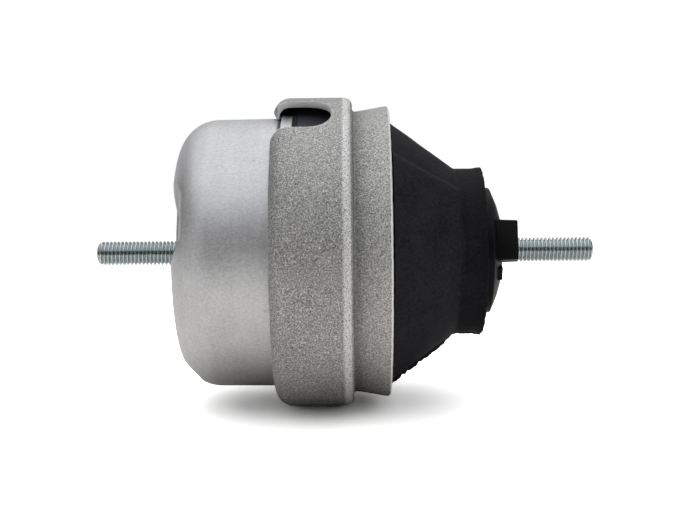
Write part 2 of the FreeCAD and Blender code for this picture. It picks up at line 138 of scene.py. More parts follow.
def soft_max(first: float, second: float, blend: float) -> float:
    """Return the larger value, rounded over where the two are within blend."""
    overlap = max(blend - abs(first - second), 0.0) / blend
    return max(first, second) + overlap * overlap * blend / 4.0


def clock_offset(angle: float, middle: float) -> float:
    """Return how many degrees a clock angle lies past a middle, from -180 to 180."""
    return (angle - middle + 180.0) % 360.0 - 180.0


def place(along: float, radius: float, angle: float) -> Vector:
    """Return the point in metres at a station, radius and clock angle in degrees."""
    turn = math.radians(angle)
    return Vector((along, -radius * math.sin(turn), radius * math.cos(turn))) * MM


def arc(centre: tuple[float, float], radius: float, first: float, last: float, steps: int,
        zone: Zone = Zone.PLAIN, wear_and_painted_light: float = 0.0) -> list[Spot]:
    """Return the spots of an arc in the outline's plane.

    Args:
        centre: Station and radius of the arc's centre.
        radius: The arc's own radius.
        first: Start angle in degrees, from the direction of +X towards outwards.
        last: End angle in degrees.
        steps: Number of pieces that the arc is cut into.
        zone: Zone of each spot.
        wear_and_painted_light: Mask value of each spot.

    Returns:
        The spots, with both ends.
    """
    spots = []
    for step in range(steps + 1):
        angle = math.radians(first + (last - first) * step / steps)
        spots.append(Spot(centre[0] + radius * math.cos(angle),
                          centre[1] + radius * math.sin(angle), zone, wear_and_painted_light))
    return spots


def subdivide(outline: Sequence[Spot], longest: float) -> list[Spot]:
    """Cut a closed outline's edges so that none is longer than a length.

    Args:
        outline: Spots round the outline.
        longest: Longest edge that is left; hidden edges stay whole.

    Returns:
        The spots with the new ones between them.
    """
    cut = []
    for number, spot in enumerate(outline):
        following = outline[(number + 1) % len(outline)]
        length = math.dist((spot.along, spot.radius), (following.along, following.radius))
        parts = max(1, math.ceil(length / longest))
        if spot.zone is Zone.INSIDE:
            parts = 1
        for part in range(parts):
            share = part / parts
            cut.append(Spot(
                spot.along + (following.along - spot.along) * share,
                spot.radius + (following.radius - spot.radius) * share,
                spot.zone,
                spot.wear_and_painted_light + (following.wear_and_painted_light - spot.wear_and_painted_light) * share))
    return cut


def new_object(name: str, mesh: bpy.types.Mesh) -> bpy.types.Object:
    """Link a mesh to the scene as an object at the origin.

    Args:
        name: Name of the object.
        mesh: Its mesh.

    Returns:
        The object.
    """
    piece = bpy.data.objects.new(name, mesh)
    bpy.context.scene.collection.objects.link(piece)
    return piece


def shade(mesh: bpy.types.Mesh, sharp_over: float = 40.0) -> None:
    """Shade a mesh smooth, with edges over an angle kept sharp."""
    mesh.shade_smooth()
    mesh.set_sharp_from_angle(angle=math.radians(sharp_over))


def to_mesh(name: str, work: bmesh.types.BMesh) -> bpy.types.Mesh:
    """Turn finished mesh work into a mesh whose faces point outwards.

    Args:
        name: Name of the mesh.
        work: The mesh work, which is freed.

    Returns:
        The mesh.
    """
    bmesh.ops.remove_doubles(work, verts=work.verts, dist=1e-6)
    bmesh.ops.recalc_face_normals(work, faces=work.faces)
    mesh = bpy.data.meshes.new(name)
    work.to_mesh(mesh)
    work.free()
    shade(mesh)
    return mesh


def lathe(name: str, outline: Sequence[Spot], steps: int,
          rule: ShapeRule | None = None) -> bpy.types.Object:
    """Turn a closed outline about the stud axis into a piece.

    Args:
        name: Name of the piece.
        outline: Spots round the outline; one with radius 0 becomes a pole.
        steps: Number of turns round the axis.
        rule: Gives the station and radius of a spot at a clock angle.

    Returns:
        The piece, with a wear_and_painted_light value on each of its points.
    """
    work = bmesh.new()
    # the mask carries painted shade and painted highlight as well as rubbing
    wear_and_painted_light = work.verts.layers.float.new("wear_and_painted_light")
    rows = []
    for spot in outline:
        row = []
        for step in range(1 if spot.radius <= 0 else steps):
            angle = 360.0 * step / steps
            along, radius = rule(spot, angle) if rule else (spot.along, spot.radius)
            vertex = work.verts.new(place(along, radius, angle))
            vertex[wear_and_painted_light] = spot.wear_and_painted_light
            row.append(vertex)
        rows.append(row)
    for number, row in enumerate(rows):
        following = rows[(number + 1) % len(rows)]
        if len(row) == 1 and len(following) == 1:
            continue
        for step in range(steps):
            after = (step + 1) % steps
            corners = [row[step % len(row)], row[after % len(row)],
                       following[after % len(following)], following[step % len(following)]]
            work.faces.new(list(dict.fromkeys(corners)))
    return new_object(name, to_mesh(name, work))


def rounded_block(work: bmesh.types.BMesh, low: Vector, high: Vector, turn: Matrix,
                  draft: float, rounding: float) -> None:
    """Add a block with a drafted far end and rounded edges to mesh work.

    Args:
        work: The mesh work that it is added to.
        low: Lowest corner before turning, in millimetres.
        high: Highest corner before turning, in millimetres.
        turn: Rotation that carries the block to its clock angle.
        draft: Taper of the sides towards +X, in degrees.
        rounding: Radius of the edges, in millimetres.
    """
    made = bmesh.ops.create_cube(work, size=1.0)
    middle = (low + high) / 2
    size = high - low
    shrink = math.tan(math.radians(draft)) * size.x
    for vertex in made["verts"]:
        at = vertex.co.copy()
        inset = shrink if at.x > 0 else 0.0
        vertex.co = turn @ (Vector((
            middle.x + at.x * size.x,
            middle.y + math.copysign(size.y / 2 - inset, at.y),
            middle.z + math.copysign(size.z / 2 - inset, at.z))) * MM)
    edges = list({edge for vertex in made["verts"] for edge in vertex.link_edges})
    bmesh.ops.bevel(work, geom=edges, offset=rounding * MM, segments=3, profile=0.5,
                    affect="EDGES", clamp_overlap=True)


class NodeSheet:
    """A node tree that is filled one node at a time."""

    def __init__(self, tree: bpy.types.NodeTree) -> None:
        """Start on an empty tree."""
        self.tree = tree
        tree.nodes.clear()

    def add(self, kind: str, settings: dict | None = None, **inputs: object) -> bpy.types.Node:
        """Add a node with its settings, and fill or link its inputs.

        Args:
            kind: Blender's name of the node type.
            settings: Properties of the node itself.
            **inputs: Values, hex colours, sockets or nodes by input name, with
                spaces as underscores, or by number after the word slot. A node
                gives its first output that is in use.

        Returns:
            The new node.
        """
        node = self.tree.nodes.new(kind)
        for key, setting in (settings or {}).items():
            setattr(node, key, setting)
        for key, given in inputs.items():
            number = key.removeprefix("slot")
            socket = node.inputs[int(number) if number.isdigit() else key.replace("_", " ")]
            if isinstance(given, bpy.types.Node):
                given = next(end for end in given.outputs if not end.is_unavailable)
            if isinstance(given, bpy.types.NodeSocket):
                self.tree.links.new(given, socket)
            else:
                socket.default_value = linear(given) if isinstance(given, str) else given
        return node

    def surface(self, colour: object, rough: object, relief: object, strength: object,
                depth: float, **more: object) -> None:
        """End a material's tree with a surface in low relief.

        Args:
            colour: Base colour.
            rough: Roughness.
            relief: Height of the relief, as a share of the depth.
            strength: Share of the relief that shows.
            depth: Depth of the relief, in millimetres.
            **more: Further inputs of the shader.
        """
        bump = self.add("ShaderNodeBump", Height=relief, Strength=strength,
                        Distance=depth * MM)
        shader = self.add("ShaderNodeBsdfPrincipled", Base_Color=colour, Roughness=rough,
                          Normal=bump, **more)
        self.add("ShaderNodeOutputMaterial", Surface=shader)


def new_material(name: str) -> tuple[bpy.types.Material, NodeSheet]:
    """Return an empty material and the sheet for its nodes.

    Args:
        name: Name of the material.

    Returns:
        The material and its sheet.
    """
    material = bpy.data.materials.new(name)
    material.use_nodes = True
    return material, NodeSheet(material.node_tree)


def staged(name: str, work: bmesh.types.BMesh,
           finish: bpy.types.Material) -> bpy.types.Object:
    """Turn finished mesh work into a flat object of the studio.

    Args:
        name: Name of the object.
        work: The mesh work, which is freed.
        finish: Its material.

    Returns:
        The object.
    """
    flat = new_object(name, bpy.data.meshes.new(name))
    work.to_mesh(flat.data)
    work.free()
    flat.data.materials.append(finish)
    return flat


@dataclass(frozen=True)
class DrawnAluminium:
    """Deep-drawn aluminium sheet, etched: an even satin grey with a fine grain.

    The grain runs a little longer along the draw, and faint rings show where
    the cup was spun smooth. Painted shade darkens the corner at its mouth and
    the groove's flanks.
    """

    bright: str = "#dedfe1"
    dull: str = "#b8b9bb"
    recess_shade: str = "#4b4b4d"
    mark: str = "#8a8b8d"
    mark_share: float = 0.35
    roughness: float = 0.48
    grain: float = 0.5
    grain_stretch: float = 0.6
    grain_depth: float = 0.06
    grain_weight: float = 2.0
    ring_spacing: float = 2.2
    ring_weight: float = 0.35
    cloud_scale: float = 48.0
    speck_scale: float = 95.0

    def material(self) -> bpy.types.Material:
        """Build the finish.

        Returns:
            The material.
        """
        material, sheet = new_material("deep_drawn_aluminium_etched")
        place_on = sheet.add("ShaderNodeTexCoord").outputs["Object"]
        fine = 1 / (self.grain * MM)
        grain_at = sheet.add("ShaderNodeMapping", Vector=place_on,
                             Scale=(self.grain_stretch / (self.grain * MM), fine, fine))
        grain = sheet.add("ShaderNodeTexNoise", Vector=grain_at, Scale=1.0, Detail=3.0,
                          Roughness=0.65)
        rings_at = sheet.add("ShaderNodeMapping", Vector=place_on,
                             Scale=(1 / (self.ring_spacing * MM), 6.0, 6.0))
        rings = sheet.add("ShaderNodeTexNoise", Vector=rings_at, Scale=1.0, Detail=4.0,
                          Roughness=0.6)
        cloud = sheet.add("ShaderNodeTexNoise", Vector=place_on, Scale=self.cloud_scale,
                          Detail=4.0, Roughness=0.6)
        tone = sheet.add("ShaderNodeMath", TIMES_ADD, slot0=rings, slot1=self.ring_weight,
                         slot2=cloud)
        tone = sheet.add("ShaderNodeMath", TIMES_ADD, slot0=grain, slot1=self.grain_weight,
                         slot2=tone)
        tone = sheet.add("ShaderNodeMapRange", Value=tone, From_Min=1.2, From_Max=2.15)
        colour = sheet.add("ShaderNodeMix", COLOURS, Factor=tone, slot6=self.dull,
                           slot7=self.bright)
        specks = sheet.add("ShaderNodeTexVoronoi", Vector=place_on, Scale=self.speck_scale)
        speck = sheet.add("ShaderNodeMapRange", Value=specks, From_Min=0.03,
                          From_Max=0.06, To_Min=self.mark_share, To_Max=0.0)
        colour = sheet.add("ShaderNodeMix", COLOURS, Factor=speck, slot6=colour,
                           slot7=self.mark)
        # painted shade: darker in the corner at the mouth and on the groove's flanks
        recess_shaded = sheet.add("ShaderNodeAttribute", WEAR_AND_PAINTED_LIGHT).outputs["Fac"]
        colour = sheet.add("ShaderNodeMix", COLOURS, Factor=recess_shaded, slot6=colour,
                           slot7=self.recess_shade)
        rough = sheet.add("ShaderNodeMapRange", Value=grain, From_Min=0.3, From_Max=0.7,
                          To_Min=self.roughness - 0.05, To_Max=self.roughness + 0.07)
        sheet.surface(colour, rough, grain, 0.22, self.grain_depth, Metallic=1.0)
        return material


@dataclass(frozen=True)
class BlastedCasting:
    """Die-cast aluminium, shot blasted: pebbled, with light sparks between grey pits.

    Blasting leaves dimples a few tenths of a millimetre across. They are drawn
    about half a millimetre wide, so that they still show at this size. Edges are
    smoother and brighter from rubbing, partly as a painted highlight, and the
    neck carries painted shade.
    """

    bright: str = "#ebebeb"
    middle: str = "#a6a6a5"
    dull: str = "#666665"
    rubbed_and_highlight: str = "#f3f3f3"
    pore_and_crease_shade: str = "#4b4a49"
    crease_shade_share: float = 0.4
    roughness: float = 0.64
    dimple: float = 0.42
    dimple_depth: float = 0.16
    cloud_scale: float = 38.0
    cloud_weight: float = 0.35
    spark_loss: float = 0.12
    pore_spacing: float = 15.0
    pore_share: float = 0.9

    def material(self) -> bpy.types.Material:
        """Build the finish.

        Returns:
            The material.
        """
        material, sheet = new_material("die_cast_aluminium_shot_blasted")
        place_on = sheet.add("ShaderNodeTexCoord").outputs["Object"]
        dimples = sheet.add("ShaderNodeTexNoise", Vector=place_on,
                            Scale=1 / (self.dimple * MM), Detail=2.0, Roughness=0.6)
        cloud = sheet.add("ShaderNodeTexNoise", Vector=place_on, Scale=self.cloud_scale,
                          Detail=3.0, Roughness=0.55)
        pit = sheet.add("ShaderNodeMapRange", Value=dimples, From_Min=0.3, From_Max=0.5)
        spark = sheet.add("ShaderNodeMapRange", Value=dimples, From_Min=0.52,
                          From_Max=0.72)
        colour = sheet.add("ShaderNodeMix", COLOURS, Factor=pit, slot6=self.dull,
                           slot7=self.middle)
        glint = sheet.add("ShaderNodeMath", {**TIMES_ADD, "use_clamp": True}, slot0=cloud,
                          slot1=self.cloud_weight, slot2=spark)
        glint = sheet.add("ShaderNodeMath", {**LESS, "use_clamp": True}, slot0=glint,
                          slot1=self.spark_loss)
        colour = sheet.add("ShaderNodeMix", COLOURS, Factor=glint, slot6=colour,
                           slot7=self.bright)
        pores = sheet.add("ShaderNodeTexVoronoi", Vector=place_on,
                          Scale=1 / (self.pore_spacing * MM))
        pore = sheet.add("ShaderNodeMapRange", Value=pores, From_Min=0.016,
                         From_Max=0.028, To_Min=self.pore_share, To_Max=0.0)
        colour = sheet.add("ShaderNodeMix", COLOURS, Factor=pore, slot6=colour,
                           slot7=self.pore_and_crease_shade)
        wear_and_painted_light = sheet.add("ShaderNodeAttribute", WEAR_AND_PAINTED_LIGHT).outputs["Fac"]
        smooth = sheet.add("ShaderNodeMapRange", Value=wear_and_painted_light, From_Min=1.0, From_Max=1.5)
        worn_and_highlighted = sheet.add("ShaderNodeMath", {**TIMES_ADD, "use_clamp": True}, slot0=wear_and_painted_light,
                         slot1=pit, slot2=smooth)
        # painted shade in the neck crease, where the mask runs below zero
        crease_shaded = sheet.add("ShaderNodeMapRange", Value=wear_and_painted_light, From_Min=0.0, From_Max=-1.0,
                           To_Min=0.0, To_Max=self.crease_shade_share)
        colour = sheet.add("ShaderNodeMix", COLOURS, Factor=crease_shaded, slot6=colour,
                           slot7=self.pore_and_crease_shade)
        # rubbing on the edges, partly a painted highlight
        colour = sheet.add("ShaderNodeMix", COLOURS, Factor=worn_and_highlighted, slot6=colour,
                           slot7=self.rubbed_and_highlight)
        rough = sheet.add("ShaderNodeMapRange", Value=worn_and_highlighted, To_Min=self.roughness,
                          To_Max=self.roughness + 0.08)
        strength = sheet.add("ShaderNodeMapRange", Value=worn_and_highlighted, To_Min=0.8, To_Max=0.3)
        sheet.surface(colour, rough, dimples, strength, self.dimple_depth, Metallic=1.0)
        return material


@dataclass(frozen=True)
class MouldedRubber:
    """Natural rubber, compression moulded: near black, with a soft sheen and faint bloom."""

    name: str = "natural_rubber_moulded"
    body: str = "#141518"
    bloom: str = "#29292f"
    collar_shade: str = "#0c0c0e"
    roughness: float = 0.6
    gloss: float = 0.07
    grain: float = 0.8
    grain_weight: float = 1.2
    patch: float = 9.0
    patch_relief: float = 3.0
    relief_depth: float = 0.22

    def material(self) -> bpy.types.Material:
        """Build the finish.

        Returns:
            The material.
        """
        material, sheet = new_material(self.name)
        place_on = sheet.add("ShaderNodeTexCoord").outputs["Object"]
        cloud = sheet.add("ShaderNodeTexNoise", Vector=place_on,
                          Scale=1 / (self.patch * MM), Detail=5.0, Roughness=0.62)
        grain = sheet.add("ShaderNodeTexNoise", Vector=place_on,
                          Scale=1 / (self.grain * MM), Detail=2.0, Roughness=0.6)
        mottle = sheet.add("ShaderNodeMath", TIMES_ADD, slot0=grain,
                           slot1=self.grain_weight, slot2=cloud)
        bloomed = sheet.add("ShaderNodeMapRange", Value=mottle, From_Min=0.8,
                            From_Max=1.45)
        colour = sheet.add("ShaderNodeMix", COLOURS, Factor=bloomed, slot6=self.body,
                           slot7=self.bloom)
        # painted shade: the collar darkens towards its end
        collar_shaded = sheet.add("ShaderNodeAttribute", WEAR_AND_PAINTED_LIGHT).outputs["Fac"]
        colour = sheet.add("ShaderNodeMix", COLOURS, Factor=collar_shaded, slot6=colour,
                           slot7=self.collar_shade)
        rough = sheet.add("ShaderNodeMapRange", Value=cloud, From_Min=0.3, From_Max=0.7,
                          To_Min=self.roughness - 0.06, To_Max=self.roughness + 0.1)
        relief = sheet.add("ShaderNodeMath", TIMES_ADD, slot0=cloud,
                           slot1=self.patch_relief, slot2=grain)
        sheet.surface(colour, rough, relief, 0.5, self.relief_depth, IOR=1.5,
                      Specular_IOR_Level=self.gloss)
        return material


@dataclass(frozen=True)
class BlackCoat:
    """Black coat over a casting: deep black that takes a thin, even gloss."""

    name: str
    body: str
    roughness: float
    gloss: float
    grain: float = 0.4
    grain_depth: float = 0.08

    def material(self) -> bpy.types.Material:
        """Build the finish.

        Returns:
            The material.
        """
        material, sheet = new_material(self.name)
        place_on = sheet.add("ShaderNodeTexCoord").outputs["Object"]
        grain = sheet.add("ShaderNodeTexNoise", Vector=place_on,
                          Scale=1 / (self.grain * MM), Detail=3.0, Roughness=0.6)
        rough = sheet.add("ShaderNodeMapRange", Value=grain, From_Min=0.3, From_Max=0.7,
                          To_Min=self.roughness - 0.05, To_Max=self.roughness + 0.08)
        sheet.surface(self.body, rough, grain, 0.25, self.grain_depth, IOR=1.5,
                      Specular_IOR_Level=self.gloss)
        return material


@dataclass(frozen=True)
class ZincPlate:
    """Steel thread, zinc plated and clear passivated: bright and cool.

    The roots of the thread carry painted shade.
    """

    bright: str = "#dde6e8"
    dull: str = "#a6b0b3"
    root: str = "#59615f"
    root_share: float = 0.45
    roughness: float = 0.14
    grain: float = 0.3
    grain_depth: float = 0.02
    root_radius: float = 3.2
    crest_radius: float = 3.55

    def material(self) -> bpy.types.Material:
        """Build the finish.

        Returns:
            The material.
        """
        material, sheet = new_material("steel_zinc_plated")
        place_on = sheet.add("ShaderNodeTexCoord").outputs["Object"]
        grain = sheet.add("ShaderNodeTexNoise", Vector=place_on,
                          Scale=1 / (self.grain * MM), Detail=3.0, Roughness=0.6)
        tone = sheet.add("ShaderNodeMapRange", Value=grain, From_Min=0.35, From_Max=0.65)
        colour = sheet.add("ShaderNodeMix", COLOURS, Factor=tone, slot6=self.dull,
                           slot7=self.bright)
        across = sheet.add("ShaderNodeVectorMath", TIMES, slot0=place_on,
                           slot1=(0.0, 1.0, 1.0))
        radius = sheet.add("ShaderNodeVectorMath", LENGTH, slot0=across)
        # painted shade in the thread's roots
        deep = sheet.add("ShaderNodeMapRange", Value=radius,
                         From_Min=self.root_radius * MM, From_Max=self.crest_radius * MM,
                         To_Min=self.root_share, To_Max=0.0)
        colour = sheet.add("ShaderNodeMix", COLOURS, Factor=deep, slot6=colour,
                           slot7=self.root)
        rough = sheet.add("ShaderNodeMapRange", Value=grain, From_Min=0.3, From_Max=0.7,
                          To_Min=self.roughness - 0.03, To_Max=self.roughness + 0.05)
        sheet.surface(colour, rough, grain, 0.1, self.grain_depth, Metallic=1.0)
        return material


def dress(piece: bpy.types.Object, finish: bpy.types.Material, node: str) -> None:
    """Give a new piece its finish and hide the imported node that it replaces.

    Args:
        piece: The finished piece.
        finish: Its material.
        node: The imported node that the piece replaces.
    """
    piece.data.materials.clear()
    piece.data.materials.append(finish)
    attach(piece, BODY)
    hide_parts(node)
    log.info("%s: %d faces", piece.name, len(piece.data.polygons))


@dataclass
class BaseCup:
    """Domed cup with a pressed groove, a coined flat and a flange in the crimp.

    The groove runs outward from the seat, and its floor rises by groove_tilt
    between flanks of groove_slope. Its flanks carry painted shade.
    The flat cuts flat_depth into the round of the cup's corner. Behind the
    ring's window the flange is notched.
    """

    wall: float = 3.4
    radius: float = 43.25
    mouth_radius: float = 43.45
    depth: float = 33.6
    seat_radius: float = 12.0
    seat_edge: float = 0.3
    bore_radius: float = 5.0
    dome_radius: float = 150.0
    corner_radius: float = 12.6
    mouth_round: float = 0.8
    heel_round: float = 4.0
    flange_set: float = 0.8
    flange_radius: float = 47.9
    flange_round: float = 3.4
    notch_radius: float = 45.0
    notch_half: float = 36.0
    notch_fade: float = 14.0
    window_angle: float = 22.0
    groove_angle: float = 65.0
    groove_floor: float = 17.0
    groove_slope: float = 40.0
    groove_tilt: float = 8.2
    groove_start: float = 6.0
    groove_in: float = 0.8
    groove_out: float = 0.6
    groove_blend: float = 1.6
    groove_shade: float = 0.5
    groove_shade_low: float = 0.1
    groove_shade_high: float = 0.9
    groove_shade_in: float = 2.0
    groove_shade_out: float = 0.5
    flat_angle: float = 160.0
    flat_tilt: float = 43.2
    flat_depth: float = 0.75
    flat_span: float = 16.0
    flat_out: float = 1.0
    flat_blend: float = 2.5
    steps: int = 300

    def corner_centre(self) -> tuple[float, float]:
        """Work out the centre of the corner's round.

        Returns:
            Station and radius, in millimetres.
        """
        up = self.radius - self.corner_radius
        reach = self.dome_radius - self.corner_radius
        return (self.dome_radius - math.sqrt(reach ** 2 - (up - self.seat_radius) ** 2), up)

    def outline(self) -> list[Spot]:
        """Return the cup's section, from the bore round the outside and back inside.

        Returns:
            The spots, as a closed outline.
        """
        centre = self.corner_centre()
        tilt = math.degrees(math.asin(
            (centre[1] - self.seat_radius) / (self.dome_radius - self.corner_radius)))
        spots = [Spot(0.0, self.bore_radius, Zone.FACE),
                 Spot(0.0, self.seat_radius - self.seat_edge, Zone.FACE)]
        spots += arc((self.dome_radius, self.seat_radius), self.dome_radius,
                     180.0, 180.0 - tilt, 36, Zone.FACE)
        spots += arc(centre, self.corner_radius, 180.0 - tilt, 90.0, 30, Zone.FACE)[1:]
        spots += [Spot(self.depth - self.mouth_round, self.mouth_radius, Zone.WALL)]
        front = self.depth + self.flange_set
        # the corner at the mouth, beside the flange, carries painted shade
        spots += arc((front - self.mouth_round, self.mouth_radius + self.mouth_round),
                     self.mouth_round, 270.0, 360.0, 5, wear_and_painted_light=1.0)
        middle = self.flange_radius - self.flange_round
        spots += arc((front + self.flange_round, middle), self.flange_round,
                     180.0, 90.0, 10)
        back = front + self.wall
        inner = self.mouth_radius - self.wall
        spots += arc((back - self.heel_round, inner + self.heel_round), self.heel_round,
                     360.0, 270.0, 6, Zone.INSIDE)
        spots += arc(centre, self.corner_radius - self.wall, 90.0, 180.0 - tilt, 8,
                     Zone.INSIDE)
        spots += [Spot(self.wall, self.seat_radius, Zone.INSIDE),
                  Spot(self.wall, self.bore_radius, Zone.INSIDE)]
        return subdivide(spots, 0.8)

    def groove_bottom(self, outward: float, across: float) -> float:
        """Return the station of the groove's floor or flank.

        Args:
            outward: Distance from the stud axis along the groove.
            across: Distance from the groove's middle line.

        Returns:
            The station, which rises outward and falls away beside the floor.
        """
        slope = math.tan(math.radians(self.groove_slope))
        fall = math.tan(math.radians(self.groove_tilt))
        beside = max(abs(across) - self.groove_floor / 2, 0.0)
        return (outward - self.groove_start) * fall - beside * slope

    def press_groove(self, along: float, radius: float, angle: float) -> float:
        """Return the station of a point of the dome once the groove is pressed.

        Args:
            along: Station of the point.
            radius: Radius of the point.
            angle: Clock angle of the point in degrees.

        Returns:
            The new station.
        """
        turn = math.radians(clock_offset(angle, self.groove_angle))
        outward = radius * math.cos(turn)
        share = smooth_step(self.seat_radius - self.groove_in,
                            self.seat_radius + self.groove_out, outward)
        if share == 0.0:
            return along
        bottom = self.groove_bottom(outward, radius * math.sin(turn))
        return along + (soft_max(along, bottom, self.groove_blend) - along) * share

    def coin_flat(self, along: float, radius: float, angle: float) -> tuple[float, float]:
        """Return the place of a point of the dome once the flat is coined.

        Args:
            along: Station of the point.
            radius: Radius of the point.
            angle: Clock angle of the point in degrees.

        Returns:
            The new station and radius.
        """
        centre = self.corner_centre()
        tilt = math.radians(self.flat_tilt)
        turn = math.radians(clock_offset(angle, self.flat_angle))
        outward = radius * math.cos(turn) - centre[1]
        reach = outward * math.sin(tilt) - (along - centre[0]) * math.cos(tilt)
        excess = reach - (self.corner_radius - self.flat_depth)
        if excess <= 0.0:
            return along, radius
        edge = self.flat_span / 2 + self.flat_out
        across = abs(radius * math.sin(turn))
        excess *= 1.0 - smooth_step(edge - self.flat_blend, edge, across)
        return along + excess * math.cos(tilt), radius - excess * math.sin(tilt)

    def rule(self, spot: Spot, angle: float) -> tuple[float, float]:
        """Press the groove, coin the flat and notch the flange behind the window.

        Args:
            spot: Spot of the outline.
            angle: Clock angle in degrees.

        Returns:
            The spot's station and radius at this angle.
        """
        along, radius = spot.along, spot.radius
        if spot.zone is Zone.FACE:
            along = self.press_groove(along, radius, angle)
            along, radius = self.coin_flat(along, radius, angle)
        if spot.zone is Zone.PLAIN:
            past = abs(clock_offset(angle, self.window_angle))
            fade = smooth_step(self.notch_half, self.notch_half + self.notch_fade, past)
            limit = self.notch_radius + (self.flange_radius - self.notch_radius) * fade
            radius = min(radius, limit)
        return along, radius

    def shade_groove(self, piece: bpy.types.Object) -> None:
        """Paint shade on the groove's flanks.

        Args:
            piece: The cup, which has a wear_and_painted_light value on each point.
        """
        wear_and_painted_light = piece.data.attributes["wear_and_painted_light"].data
        turn = math.radians(self.groove_angle)
        edge = self.groove_floor / 2
        for vertex in piece.data.vertices:
            along, y, z = vertex.co / MM
            outward = z * math.cos(turn) - y * math.sin(turn)
            across = abs(z * math.sin(turn) + y * math.cos(turn))
            if outward > self.seat_radius:
                above = along - self.groove_bottom(outward, across)
                pressed = 1.0 - smooth_step(self.groove_shade_low, self.groove_shade_high, above)
                flank = smooth_step(edge - self.groove_shade_in, edge + self.groove_shade_out, across)
                # painted shade on the groove's flanks
                wear_and_painted_light[vertex.index].value += self.groove_shade * pressed * flank

    def build(self) -> None:
        """Build and dress the cup."""
        piece = lathe("cup_shell", self.outline(), self.steps, self.rule)
        self.shade_groove(piece)
        dress(piece, DrawnAluminium().material(), "base_cup")


